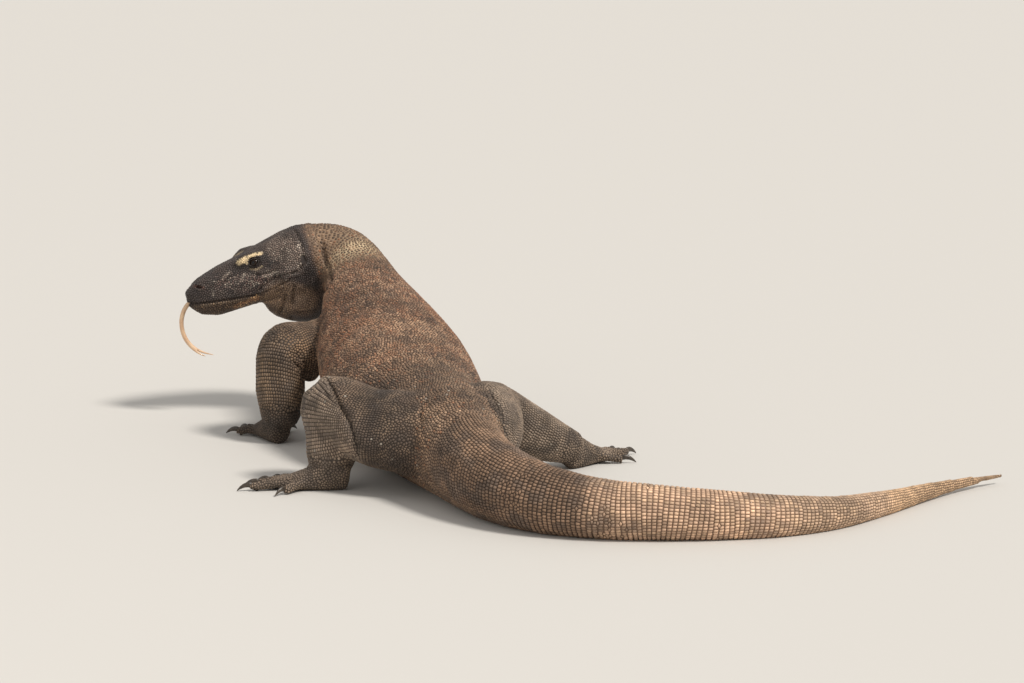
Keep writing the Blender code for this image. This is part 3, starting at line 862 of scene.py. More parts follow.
points = refine_skin((near_folds, near_folds), 6)
for fold in FOLDS:
    points = folded(points, skin_normals(points), *fold)
put_places(flesh, points)
print("skin with its folds:", len(flesh.polygons), "faces")

# %% [markdown]
# ## How large the scales are
# A monitor's scales are beads that lie side by side. They are largest in the rings of the
# tail, smaller on the neck, the trunk and the limbs, and smallest on the face and the feet.
# Each part has its size here, and a scale that is narrower than long has its width too. A
# table is easier to read, and to change, than a formula would be.

# %% Sizes and standing height of the scales
PITCH = {"head": 0.0037, "lower_jaw": 0.0040, "neck": 0.0058, "trunk": 0.0050, "hips": 0.0056,
         "tail_base": 0.0076, "tail_middle": 0.0082, "tail_end": 0.0074, "tail_tip": 0.0058,
         "upper_arm": 0.0056, "forearm": 0.0058, "fore_foot": 0.0043,
         "thigh": 0.0052, "shin": 0.0060, "hind_foot": 0.0044}
# width of a scale across the ring, as a share of its length, and how unevenly scales stand
ACROSS = {"hips": 0.9, "tail_base": 0.74, "tail_middle": 0.68, "tail_end": 0.70, "tail_tip": 0.76,
          "upper_arm": 0.84, "forearm": 0.80, "thigh": 0.84, "shin": 0.78}
UNEVEN = {"neck": 0.14, "trunk": 0.17, "hips": 0.10, "thigh": 0.09, "upper_arm": 0.06,
          "tail_base": 0.04, "forearm": 0.04, "shin": 0.03}
RISE = 0.24  # height of a scale, as a share of its pitch


def part_kind(name):
    """A limb's part without its side."""
    for side in ("left_", "right_"):
        name = name.removeprefix(side)
    return name


def by_part(table, default=None):
    """The rows of a table for the parts of the flesh, in the order of their numbers."""
    return np.array([table.get(part_kind(name), default) for name in FLESH])


print("scales of", len(PITCH), "sizes, from", min(PITCH.values()), "to", max(PITCH.values()))

# %% [markdown]
# ## A skin that can be asked
# From here on many steps ask the same things: what place on the skin is nearest, which way it
# faces there, and what a value such as the size of the scales comes to between the corners. A
# small class answers them, from a tree of the skin's triangles.

# %% The skin as a thing to ask


class Skin:
    """The skin with its normals, a tree to find places on it, and values that vary over it."""

    def __init__(self, mesh):
        mesh.calc_loop_triangles()
        self.points = places_of(mesh)
        self.normals = normals_of(mesh)
        self.edges = edges_of(mesh)
        corners = np.zeros(len(mesh.loop_triangles) * 3, np.int32)
        mesh.loop_triangles.foreach_get("vertices", corners)
        self.triangles = corners.reshape(-1, 3)
        self.tree = BVHTree.FromPolygons(self.points.tolist(), self.triangles.tolist())

    def nearest(self, points):
        """Place, normal and triangle on the skin nearest to each point."""
        found = [self.tree.find_nearest(point) for point in points]
        places = np.array([hit[0] for hit in found])
        faces = np.array([hit[2] for hit in found])
        return places, self.at(self.normals, places, faces, unit=True), faces

    def at(self, values, places, faces, unit=False):
        """Values of the corners, blended to places on the triangles."""
        corners = self.triangles[faces]
        gaps = np.linalg.norm(self.points[corners] - places[:, None], axis=2) + 1e-6
        shares = 1 / gaps
        shares /= shares.sum(1)[:, None]
        rows = values[corners]
        blended = (rows.reshape(len(places), 3, -1) * shares[:, :, None]).sum(1)
        if unit:
            blended /= np.linalg.norm(blended, axis=1)[:, None]
        return blended if values.ndim > 1 else blended[:, 0]

    def scattered(self, wanted, area_each):
        """Random places over the wanted triangles, one for each such area."""
        chosen = np.flatnonzero(wanted[self.triangles].all(axis=1))
        a, b, c = (self.points[self.triangles[chosen, k]] for k in range(3))
        area = np.linalg.norm(np.cross(b - a, c - a), axis=1) / 2
        count = int(area.sum() / area_each)
        picked = chance.choice(len(chosen), count, p=area / area.sum())
        u, v = chance.random(count), chance.random(count)
        flip = u + v > 1
        u, v = np.where(flip, 1 - u, u)[:, None], np.where(flip, 1 - v, v)[:, None]
        return a[picked] * (1 - u - v) + b[picked] * u + c[picked] * v, chosen[picked]


skin = Skin(flesh)
owner = owners_of(skin.points)
print("skin of", len(skin.triangles), "triangles")

# %% [markdown]
# ## Sizes blended over the skin
# The skin takes the size of its part, and the sizes are then spread over the skin, so that one
# part passes into the next without a step. The hide beyond a knee's fold goes with the shin,
# whose grid of scales runs on over the knee. The scales shrink to grains round the eyes, and
# grow ever smaller to the tip of the tail.

# %% Blend the sizes
BLEND_ROUNDS = 30
KNEE_REACH = 0.09
TIP_SHRINK, TIP_SPAN = 0.58, (0.94, 0.995)  # by how much, and over what share of the spine
LID_SHRINK, LID_SPAN = 0.26, 0.024


def past_fold(points, path, reach):
    """Which points lie on the far side of a fold, and no farther from it than that."""
    nearest = np.argmin(((points[:, None] - path[None]) ** 2).sum(2), axis=1)
    normals = skin.nearest(path)[1]
    across = np.cross(np.gradient(path, axis=0), normals)[nearest]
    offset = points - path[nearest]
    return ((across * offset).sum(1) > 0) & (np.linalg.norm(offset, axis=1) < reach)


def hand_over(owner, thigh, shin, path):
    """The hide beyond the fold of the knee belongs to the shin."""
    mine = np.flatnonzero(owner == part_number[thigh])
    beyond = past_fold(skin.points[mine], path, KNEE_REACH)
    owner[mine[beyond]] = part_number[shin]


knees = [path for path, width, _ in FOLDS[-len(LIMB_FOLDS):] if width == KNEE_FOLD_WIDTH]
for side, path in zip(("left_", "right_"), knees):
    hand_over(owner, side + "thigh", side + "shin", path)
pitch = spread(by_part(PITCH)[owner], skin.edges, BLEND_ROUNDS)
tip = np.flatnonzero(owner == part_number["tail_tip"])
along_tip = LINES["spine"].place(skin.points[tip])[0] / LINES["spine"].length
pitch[tip] *= 1 - TIP_SHRINK * fade(along_tip, *TIP_SPAN)
for name in EYES:
    pitch *= 1 - LID_SHRINK * bump(far_from(name, skin.points), LID_SPAN)
print("pitch from", round(pitch.min(), 4), "to", round(pitch.max(), 4))

# %% [markdown]
# ## Rings of roots
# A root is the place where one scale stands. Rays from the centre line find the skin all
# round, and the roots of a ring divide its length evenly. On the body each ring is turned half
# a scale against the one before it, so the scales close up like bricks. On the tail and below
# the elbow and the knee the rings stand in line, as a grid, with narrower scales.

# %% Rings round the body and the limbs
RAYS = 48
RING_STEP = 0.95  # from ring to ring, as a share of the pitch
BLANK_STEP = 0.004  # past a place where the line has left the skin
ROUGH = 0.004  # how far from the skin a rough place may lie
IN_LINE = ("tail_base", "tail_middle", "tail_end", "tail_tip", "forearm", "shin")


def ring_of_hits(line, along):
    """Distances from the line to the skin, all round, or nan where a ray finds none."""
    centre, _, up, side = line.at(along)
    angles = np.linspace(-math.pi, math.pi, RAYS, endpoint=False)
    hits = []
    for angle in angles:
        ray = up * math.cos(angle) + side * math.sin(angle)
        place, _, _, gap = skin.tree.ray_cast(centre, ray, BODY_RAY)
        hits.append(np.nan if place is None else gap)
    return centre, up, side, angles, np.array(hits)


def ring_roots(line):
    """Roots in rings along a line, as rough places just off the skin."""
    roots, along, number = [], 0, 0
    while along < line.length:
        centre, up, side, angles, gaps = ring_of_hits(line, along)
        sound = ~np.isnan(gaps)
        if sound.sum() < RAYS // 2:
            along += BLANK_STEP
            continue
        gaps = np.interp(angles, angles[sound], gaps[sound], period=2 * math.pi)
        round_angles = np.append(angles, math.pi)
        gaps = np.append(gaps, gaps[0])
        rim = (np.cos(round_angles)[:, None] * up + np.sin(round_angles)[:, None] * side)
        rim = centre + rim * gaps[:, None]
        steps = np.concatenate([[0], np.cumsum(np.linalg.norm(np.diff(rim, axis=0), axis=1))])
        face = skin.tree.find_nearest(rim[RAYS // 2])[2]
        corner = skin.triangles[face, 0]
        size, part = pitch[corner], part_kind(FLESH[owner[corner]])
        count = 2 * max(3, round(steps[-1] / (2 * size * ACROSS.get(part, 1))))
        turned = 0 if part in IN_LINE else (number % 2) / 2
        wanted = (np.arange(count) + turned) / count * steps[-1]
        ring = np.stack([np.interp(wanted, steps, rim[:, axis]) for axis in range(3)], 1)
        roots.append(ring + chance.normal(0, UNEVEN.get(part, 0.02) * size, ring.shape))
        along += size * RING_STEP
        number += 1
    return np.concatenate(roots)


def owner_at(faces):
    """The number of the part that each triangle belongs to."""
    return owner[skin.triangles[faces, 0]]


def kept_roots(rough, parts):
    """The roots that lie on the skin of those parts, put on it."""
    places, _, faces = skin.nearest(rough)
    on_part = np.isin(owner_at(faces), parts)
    close = np.linalg.norm(places - rough, axis=1) < ROUGH
    return places[on_part & close]


ringed = np.concatenate([kept_roots(ring_roots(line), line.parts)
                         for name, line in LINES.items()
                         if name != "skull" and "foot" not in name])
print("roots in rings:", len(ringed))

# %% [markdown]
# ## Rows along the lips and round the eyes
# The scales that edge the mouth are larger and stand in one row above it and one below it.
# Grains circle each eye on its lids, in two rings. Both are laid before the rest of the head,
# which then fills up around them.

# %% Lip rows and lid rings
LIP_OFFSET = 0.0036
LIP_PITCH = 0.0045
LIP_SPAN = (0.085, 0.80)  # shares of the head; a fan of rays edges the snout before that
SNOUT_FAN, SNOUT_SHARE = np.linspace(-70, 70, 9), 0.07
LID_RINGS = ((1.20, 32), (1.52, 26))  # size in openings of the eye, and number of grains


def lip_row(offset):
    """Rays from the middle of the head find the skin at that height over the mouth."""
    rough = []
    for share in np.arange(*LIP_SPAN, LIP_PITCH / HEAD_LENGTH):
        for sign in (-1, 1):
            rough.append((in_head(0, share, mouth_height(share) + offset), LEFT * sign))
    for turn in SNOUT_FAN:
        ray = AHEAD * math.cos(math.radians(turn)) + LEFT * math.sin(math.radians(turn))
        rough.append((in_head(0, SNOUT_SHARE, mouth_height(0.02) + offset), ray))
    hits = [skin.tree.ray_cast(start, ray, HEAD_RAY)[0] for start, ray in rough]
    return [hit for hit in hits if hit is not None]


def lid_rings(name):
    """Oval rings of grains just outside the opening of the eye."""
    centre, gaze, front, top = eye_axes(name)
    rough = []
    for size, count in LID_RINGS:
        for number in range(count):
            turn = 2 * math.pi * (number + size % 1) / count
            rough.append(centre + front * math.cos(turn) * EYE_OPENING[0] * size
                         + top * math.sin(turn) * EYE_OPENING[1] * size + gaze * EYE_RADIUS * 0.7)
    return [skin.tree.find_nearest(point)[0] for point in rough]


special = lip_row(LIP_OFFSET) + lip_row(-LIP_OFFSET)
special += [place for name in EYES for place in lid_rings(name)]
special = np.array(special)
print("roots on lips and lids:", len(special))

# %% [markdown]
# ## Filling the rest
# The head and feet have no rings: their scales are an irregular pavement, and so are the strips
# where the rings of two parts meet. Places are tried at random and kept where there is room. On
# the head and the feet they are then moved a few times to the middle of the skin around them,
# which packs them as evenly as cobbles.

# %% Fill the head, the feet and the gaps
ROOM, ROOM_IN_LINE = 0.80, 0.89  # least distance between roots, as a share of the width
ROOM_BY_FEET = 0.22  # how much less room is asked for in the strips beside the feet
CROWDED = 0.62  # a root this near to one before it goes, as a share of the width
PACKING_ROUNDS = 4
COBBLE_TRIES, GAP_TRIES = 1.3e-6, 5e-6  # square metres of skin for each random place
STRIP_ROUNDS = 8


def local_pitch(faces, places):
    return skin.at(pitch, places, faces)


def least_gap(faces, places):
    """How near two roots may stand. Rings in line keep their rows, so little is added there,
    but for the strip where they end at a foot."""
    room = by_part(dict.fromkeys(IN_LINE, ROOM_IN_LINE), ROOM)
    wide = local_pitch(faces, places) * (by_part(ACROSS, 1.0) * room)[owner_at(faces)]
    return wide * (1 - ROOM_BY_FEET * skin.at(by_feet, places, faces))


def thrown(candidates, gaps, taken):
    """Greedy throwing: a candidate stays if nothing taken or kept before is too near."""
    tree = tree_of(taken)
    free = np.array([tree.find(point)[2] for point in candidates]) > gaps
    cell = gaps.max()
    grid, kept = {}, []
    for number in np.flatnonzero(free):
        point, reach = candidates[number], gaps[number]
        key = tuple((point // cell).astype(int))
        near = [other for x in (-1, 0, 1) for y in (-1, 0, 1) for z in (-1, 0, 1)
                for other in grid.get((key[0] + x, key[1] + y, key[2] + z), ())]
        if all((point - candidates[other]) @ (point - candidates[other]) > reach * reach
               for other in near):
            grid.setdefault(key, []).append(number)
            kept.append(number)
    return candidates[kept]


def packed(roots, held, sample):
    """Moves the roots, but not the held ones, to the middle of the sample around each."""
    for _ in range(PACKING_ROUNDS):
        tree = tree_of(np.concatenate([held, roots]))
        nearest = np.array([tree.find(point)[1] for point in sample]) - len(held)
        mine = nearest >= 0
        count = np.bincount(nearest[mine], minlength=len(roots))
        total = np.stack([np.bincount(nearest[mine], sample[mine, axis], len(roots))
                          for axis in range(3)], axis=1)
        full = count > 0
        roots = roots.copy()
        roots[full] = total[full] / count[full, None]
        roots = skin.nearest(roots)[0]
    return roots


def without_crowding(roots):
    """Drops each root that stands too close to one before it."""
    faces = skin.nearest(roots)[2]
    sizes = local_pitch(faces, roots) * by_part(ACROSS, 1.0)[owner_at(faces)]
    tree, kept = tree_of(roots), np.ones(len(roots), bool)
    for number, point in enumerate(roots):
        for _, other, _ in tree.find_range(point, sizes[number] * CROWDED):
            if other < number and kept[other]:
                kept[number] = False
                break
    return roots[kept]


held = np.concatenate([special, without_crowding(ringed)])
paved_parts = [part_number[name] for name in FLESH if name in HEAD or "foot" in name]
paved = np.isin(owner, paved_parts)
by_feet = fade(spread(paved * 1.0, skin.edges, STRIP_ROUNDS), 0.02, 0.15) * ~paved
sample, faces = skin.scattered(paved, COBBLE_TRIES)
cobbles = thrown(sample, least_gap(faces, sample), held)
cobbles = packed(cobbles, held, sample)
taken = np.concatenate([held, cobbles])
sample, faces = skin.scattered(~paved, GAP_TRIES)
gap_roots = thrown(sample, least_gap(faces, sample), taken)
roots = np.concatenate([taken, gap_roots])
print("roots:", len(special), "edging,", len(held), "held,", len(cobbles), "cobbles,",
      len(gap_roots), "in the gaps")

# %% [markdown]
# ## Making room for the coat
# The solids reach to the tops of the scales, so the skin and its roots go in by the height of
# the scales there. Only the lids and the ears stay where they are, because their scales are no
# more than grains.

# %% Draw the skin in
DRAWN_IN = 0.9  # share of the height of the scales
THIN_COAT = (0.012, 0.024)  # from the middle of an eye or ear: none, and the full depth


def coat_depth(points, sizes):
    """How far the skin goes in: the height of the scales, less near the eyes and the ears."""
    depth = sizes * RISE * DRAWN_IN
    for name in (*EYES, "left_eardrum", "right_eardrum"):
        depth = depth * fade(far_from(name, points), *THIN_COAT)
    return depth


root_places, root_normals, root_faces = skin.nearest(roots)
root_pitch = local_pitch(root_faces, root_places)
root_owner = owner_at(root_faces)
root_places = root_places - root_normals * coat_depth(root_places, root_pitch)[:, None]
put_places(flesh, skin.points - skin.normals * coat_depth(skin.points, pitch)[:, None])
print("skin drawn in by up to", round(float(pitch.max() * RISE * DRAWN_IN) * 1000, 2), "mm")

# %% [markdown]
# ## Colours of the hide
# A scale has two colours: the one of its worn crown and the darker one of the gaps round it,
# which is partly the darker skin there and partly painted shade in the crevices.
# Both are set part by part, blended over the skin, and carried by skin and scales alike. They
# are stored at the corners of the mesh, so no picture has to be wrapped round the animal.

# %% Tones of each part
CROWN = {"head": (0.070, 0.052, 0.045), "lower_jaw": (0.105, 0.068, 0.044),
         "neck": (0.340, 0.200, 0.122), "trunk": (0.250, 0.152, 0.096),
         "hips": (0.215, 0.134, 0.084), "tail_base": (0.240, 0.150, 0.096),
         "tail_middle": (0.580, 0.385, 0.262), "tail_end": (0.480, 0.330, 0.226),
         "tail_tip": (0.520, 0.345, 0.210), "upper_arm": (0.215, 0.140, 0.090),
         "forearm": (0.125, 0.085, 0.056), "fore_foot": (0.130, 0.094, 0.068),
         "thigh": (0.094, 0.067, 0.050), "shin": (0.250, 0.190, 0.142),
         "hind_foot": (0.228, 0.170, 0.125)}
# the gap colours are the darker skin between scales, with painted shade in the crevices
GAP = {"head": (0.024, 0.017, 0.014), "lower_jaw": (0.040, 0.025, 0.017),
       "neck": (0.078, 0.042, 0.025), "trunk": (0.068, 0.038, 0.023),
       "hips": (0.062, 0.038, 0.025), "tail_base": (0.060, 0.037, 0.024),
       "tail_middle": (0.210, 0.132, 0.088), "tail_end": (0.190, 0.126, 0.086),
       "tail_tip": (0.130, 0.084, 0.055), "upper_arm": (0.042, 0.027, 0.019),
       "forearm": (0.036, 0.025, 0.017), "fore_foot": (0.032, 0.022, 0.016),
       "thigh": (0.036, 0.025, 0.018), "shin": (0.066, 0.048, 0.036),
       "hind_foot": (0.054, 0.039, 0.029)}


def toned(table):
    """The colours of the parts, spread over the skin."""
    return spread(by_part(table)[owner], skin.edges, BLEND_ROUNDS)


def paint(tones, colour, mask):
    """Lays a colour over the tones, as thickly as the mask says."""
    tones += (np.array(colour) - tones) * np.clip(mask, 0, 1)[:, None]


crown_tone, gap_tone = toned(CROWN), toned(GAP)
print("tones laid on", len(crown_tone), "places")

# %% [markdown]
# ## Marks of this animal
# Over the tones go marks, the same on both sides: rust on the shoulders, tan on the
# flanks and the hips, pale patches on the knees and elbows, and a bluish painted shade where the
# thigh meets the flank. The face is near black, with a cream brow, a pale rim on the cheek, pale
# flecks before and behind the eye, and an orange flush on the lower jaw. Each mark is a soft oval
# round the spine or round a limb, or a soft stroke on the side of the head.

# %% Marks
# the bluish dusk is painted shade, laid where the thigh meets the flank
RUST, TAN, BLUISH_SHADE = (0.300, 0.120, 0.055), (0.450, 0.290, 0.185), (0.072, 0.062, 0.056)
CREAM, PALE, FLUSH = (0.930, 0.730, 0.450), (0.420, 0.350, 0.290), (0.480, 0.235, 0.110)
SOOT = (0.040, 0.034, 0.033)
# share of the spine, degrees from the top, half sizes of both, colour and amount
BODY_MARKS = (
    (0.12, 72, 0.030, 26, RUST, 0.35), (0.165, 60, 0.030, 24, RUST, 0.55),
    (0.205, 62, 0.026, 24, RUST, 0.45), (0.235, 10, 0.022, 34, TAN, 0.65),
    (0.265, 32, 0.024, 26, TAN, 0.55), (0.285, 0, 0.022, 34, TAN, 0.45),
    # the two bluish dusk marks, where the thigh meets the flank, are painted shade
    (0.225, 96, 0.030, 26, TAN, 0.12), (0.300, 70, 0.022, 26, BLUISH_SHADE, 0.65),
    (0.345, 60, 0.026, 22, BLUISH_SHADE, 0.55), (0.412, 42, 0.022, 20, TAN, 0.50),
    (0.440, 58, 0.022, 24, TAN, 0.45), (0.470, 20, 0.030, 40, TAN, 0.25),
    (0.250, 180, 0.220, 50, TAN, 0.35))
# the same on both limbs of a pair: share of the limb's line, degrees, half sizes
LIMB_MARKS = (
    ("upper_arm", 0.95, 55, 0.28, 30, (0.380, 0.235, 0.130), 0.60),
    ("forearm", 0.65, 40, 0.40, 22, (0.300, 0.190, 0.105), 0.50),
    ("thigh", 0.88, 12, 0.20, 30, (0.270, 0.180, 0.120), 0.60),
    # the dark bluish patch on the upper thigh is painted shade where it meets the flank
    ("thigh", 0.30, 30, 0.25, 25, (0.052, 0.047, 0.045), 0.55),
    ("shin", 0.90, 18, 0.20, 25, (0.340, 0.250, 0.180), 0.40))
# on both sides of the head: path in shares and heights, half width, colour and amount
HEAD_MARKS = (
    (((0.472, 0.0345), (0.500, 0.0368), (0.530, 0.0385)), 0.0048, CREAM, 0.95),
    (((0.520, 0.0388), (0.570, 0.0410), (0.620, 0.0415), (0.662, 0.0400)), 0.0026, CREAM, 0.95),
    (((0.510, 0.0340), (0.532, 0.0300)), 0.0020, CREAM, 0.75),
    (((0.545, 0.0190), (0.590, 0.0150), (0.640, 0.0180)), 0.0016, CREAM, 0.28),
    (((0.645, 0.0310), (0.700, 0.0330), (0.715, 0.0200), (0.690, 0.0120)),
     0.0045, SOOT, 0.80),
    (((0.800, 0.0420), (0.850, 0.0330), (0.900, 0.0200)), 0.0200, (0.210, 0.155, 0.125), 0.60),
    (((0.640, 0.0060), (0.760, 0.0040), (0.880, 0.0000)), 0.0080, (0.160, 0.122, 0.105), 0.50),
    (((0.400, 0.0060), (0.520, 0.0060)), 0.0080, (0.130, 0.100, 0.090), 0.45),
    (((0.720, -0.0400), (0.800, -0.0520), (0.880, -0.0640)), 0.0260, (0.340, 0.225, 0.150), 0.75),
    (((0.560, -0.0400), (0.640, -0.0400), (0.700, -0.0380)), 0.0060, (0.200, 0.130, 0.080), 0.60),
    (((0.620, 0.0010), (0.670, 0.0012), (0.730, 0.0040)), 0.0027, PALE, 0.75),
    (((0.305, 0.0140), (0.340, 0.0185), (0.376, 0.0225)), 0.0022, PALE, 0.70),
    (((0.205, 0.0000), (0.200, -0.0110)), 0.0018, PALE, 0.55),
    (((0.485, 0.0120), (0.440, 0.0030)), 0.0028, PALE, 0.65),
    (((0.040, -0.0215), (0.250, -0.0285), (0.450, -0.0345)), 0.0022, (0.26, 0.19, 0.13), 0.35),
    (((0.345, -0.0440), (0.400, -0.0400), (0.460, -0.0380), (0.530, -0.0375)),
     0.0042, FLUSH, 0.50),
    (((0.546, -0.0520), (0.626, -0.0515), (0.708, -0.0500)), 0.0022, TAN, 0.60),
    (((0.070, 0.0150), (0.110, 0.0112), (0.150, 0.0075)), 0.0020, (0.12, 0.050, 0.035), 0.70))


def patch(line_name, points, along, angle, half_along, half_angle):
    """A soft oval mask round a line, the same on both sides; shares and degrees."""
    line = LINES[line_name]
    place, turn = line.place(points)
    across = (np.abs(np.degrees(turn)) - angle) / half_angle
    return np.exp(-((place / line.length - along) / half_along) ** 2 - across ** 2)


def stroke(points, path, half):
    """A soft stroke on both sides of the head, along a path of share and height."""
    side, share, height = head_places(points)
    flat = np.stack([share * HEAD_LENGTH, height, np.zeros(len(points))], axis=1)
    line = np.array([(at * HEAD_LENGTH, up, 0) for at, up in path])
    outer = on_head(points) * fade(np.abs(side), 0.012, 0.020)
    return outer * fade(distance_to(line, flat), half * 1.4, half * 0.6)


def in_kinds(owners, *kinds):
    """Which of the owners are parts of those kinds, on either side."""
    return np.isin(owners, [number for name, number in part_number.items()
                            if part_kind(name) in kinds])


spine_here = np.isin(owner, [part_number[name] for name in BODY])
for along, angle, half_along, half_angle, colour, amount in BODY_MARKS:
    mask = patch("spine", skin.points, along, angle, half_along, half_angle) * spine_here
    paint(crown_tone, colour, mask * amount)
for kind, along, angle, half_along, half_angle, colour, amount in LIMB_MARKS:
    for part in ("left_" + kind, "right_" + kind):
        mask = patch(part, skin.points, along, angle, half_along, half_angle)
        paint(crown_tone, colour, mask * amount * (owner == part_number[part]))
print("marks:", len(BODY_MARKS), "round the spine,", len(LIMB_MARKS), "on the limbs")

# %% [markdown]
# ## Clouds of colour
# Ovals alone look painted on. Real hide is patchy at every size, so soft random clouds of a few
# colours go over the parts. A cloud field is a sum of waves in random directions, which needs
# no picture and has no seam where one part meets the next.

# %% Clouds
WAVES, FASTEST, FULL_TURN = 28, 4.4, 6.28
WAVES_SPREAD = 3.74  # the spread of a sum of that many waves
FULL_CLOUD = 0.95
CLOUD_EDGE_ROUNDS = 12


def clouds(points, size):
    """A soft random field, between 0 and 1, with patches of about that size."""
    waves = chance.normal(size=(3, WAVES)) * FASTEST / size
    field = np.cos(points @ waves + chance.random(WAVES) * FULL_TURN).sum(1) / WAVES_SPREAD
    return 0.5 + 0.5 * np.tanh(1.5 * field)


# parts, colour, size of the patches, how rare they are, and amount
CLOUDS = (
    (("thigh", "hips"), (0.260, 0.180, 0.120), 0.040, 0.50, 0.50),
    (("thigh", "hips", "trunk"), (0.060, 0.050, 0.045), 0.045, 0.50, 0.40),
    (("trunk", "neck"), RUST, 0.030, 0.50, 0.45), (("trunk",), TAN, 0.035, 0.55, 0.40),
    (("trunk", "neck", "upper_arm"), (0.090, 0.062, 0.048), 0.022, 0.60, 0.50),
    (("shin", "forearm", "upper_arm", "hind_foot"), (0.300, 0.215, 0.150), 0.030, 0.55, 0.35),
    (("shin", "forearm", "hind_foot", "fore_foot"), (0.080, 0.066, 0.058), 0.030, 0.50, 0.45),
    (("tail_base", "tail_middle"), (0.110, 0.086, 0.072), 0.050, 0.62, 0.60),
    (("tail_middle", "tail_end"), (0.700, 0.480, 0.300), 0.014, 0.66, 0.50),
    (("head",), (0.032, 0.028, 0.030), 0.030, 0.50, 0.50))
for kinds, colour, size, rare, amount in CLOUDS:
    mask = spread(in_kinds(owner, *kinds), skin.edges, CLOUD_EDGE_ROUNDS)
    mask = mask * fade(clouds(skin.points, size), rare, FULL_CLOUD)
    paint(crown_tone, colour, mask * amount)
print("clouds:", len(CLOUDS))

# %% [markdown]
# ## The head, the nape and the folds
# The head's strokes colour the crowns and, a little darker, the gaps. The lids are nearly black
# round the eye. On the nape dark scales stand in a cream net, which is strongest at its back.
# The bottom of each fold is painted dark, as dirt and as the shade that falls in it, more so
# where the fold is deep for its width.

# %% Head, nape and folds
LID_COLOUR, LID_AMOUNT, LID_PAINT = (0.020, 0.015, 0.013), 0.9, (0.0135, 0.0085)
GAP_SHADE, CREAM_GAP_SHADE = 0.42, 0.72  # how dark the gaps are in a stroke, beside the crowns
GAP_AMOUNT, NAPE_AMOUNT = 0.85, 0.85
# how strongly the dirt and painted shade of the folds darken gaps and crowns
FOLD_GAP_AMOUNT, FOLD_CROWN_AMOUNT = 0.7, 0.6

for name in EYES:
    centre, gaze = eye_axes(name)[:2]
    gap = np.linalg.norm(skin.points - centre - gaze * EYE_RADIUS, axis=1)
    paint(crown_tone, LID_COLOUR, LID_AMOUNT * fade(gap, *LID_PAINT))
for path, half, colour, amount in HEAD_MARKS:
    mask = stroke(skin.points, path, half) * amount
    paint(crown_tone, colour, mask)
    shade = CREAM_GAP_SHADE if colour is CREAM else GAP_SHADE
    paint(gap_tone, np.array(colour) * shade, mask * GAP_AMOUNT)
nape = np.maximum(patch("spine", skin.points, 0.024, 30, 0.050, 85),
                  patch("spine", skin.points, 0.010, 80, 0.030, 60))
nape = spread(fade(nape, 0.26, 0.74) * (owner == part_number["neck"]), skin.edges, 8)
back_of_nape = patch("spine", skin.points, 0.060, 0, 0.028, 48)
paint(crown_tone, (0.080, 0.054, 0.037), nape * NAPE_AMOUNT)
paint(gap_tone, (0.270, 0.180, 0.118), nape * NAPE_AMOUNT)
paint(gap_tone, (0.620, 0.480, 0.310), nape * back_of_nape)
paint(crown_tone, (0.052, 0.034, 0.023), nape * back_of_nape)
# dirt and painted shade along the bottom of each fold, darker where it is deep for its width
for path, width, depth in FOLDS:
    mask = min(1, depth / width) * bump(distance_to(path, skin.points), width)
    paint(gap_tone, (0.020, 0.014, 0.011), FOLD_GAP_AMOUNT * mask)
    paint(crown_tone, (0.040, 0.028, 0.021), FOLD_CROWN_AMOUNT * mask)
print("strokes on the head:", len(HEAD_MARKS))

# %% [markdown]
# ## One scale, many times
# One scale is a low eight-sided bead: a circle, extruded and drawn in to a shoulder, and a
# point pulled up in its middle. Each copy is then cut to its place: its eight corners go half
# way to the neighbours, less a thin gap, as the scales of a living hide press each other into
# shape. Joined in arrays, thousands of copies are one ordinary mesh.

# %% The pattern scale
CORNERS = 8
SHOULDER, SHOULDER_RISE = 0.78, 0.72  # width and height of the shoulder, as shares of the bead
FOOT = -0.45  # how deep the base stands in the skin, as a share of the height


def pattern_scale():
    """The corners and the faces of one bead, as wide and high as one."""
    form = bmesh.new()
    bmesh.ops.create_circle(form, cap_ends=True, segments=CORNERS, radius=1)
    bmesh.ops.translate(form, verts=form.verts, vec=(0, 0, FOOT))
    base = form.faces[:]
    raised = bmesh.ops.extrude_face_region(form, geom=base, use_keep_orig=True)
    top = [part for part in raised["geom"] if isinstance(part, bmesh.types.BMFace)]
    corners = [part for part in raised["geom"] if isinstance(part, bmesh.types.BMVert)]
    bmesh.ops.translate(form, verts=corners, vec=(0, 0, SHOULDER_RISE - FOOT))
    bmesh.ops.scale(form, verts=corners, vec=(SHOULDER, SHOULDER, 1))
    peak = bmesh.ops.poke(form, faces=top)["verts"]
    for vertex in peak:
        vertex.co.z = 1
    bmesh.ops.recalc_face_normals(form, faces=form.faces)
    form.verts.ensure_lookup_table()
    places = np.array([vertex.co for vertex in form.verts])
    faces = [[vertex.index for vertex in face.verts] for face in form.faces]
    form.free()
    return places, faces


SCALE_PLACES, SCALE_FACES = pattern_scale()
print("pattern scale:", len(SCALE_PLACES), "corners,", len(SCALE_FACES), "faces")

# %% [markdown]
# ## Fitting each scale to its neighbours
# For each root the nearest few others are found. A corner in some direction may go as far as
# the line half way to any neighbour on that side. In the narrow rings the corners point as
# those of an oblong do, so its sides stand straight. Roots on the far side of a thin part, such
# as a toe, face another way and don't count.

# %% Outlines of the scales
NEIGHBOURS = 11
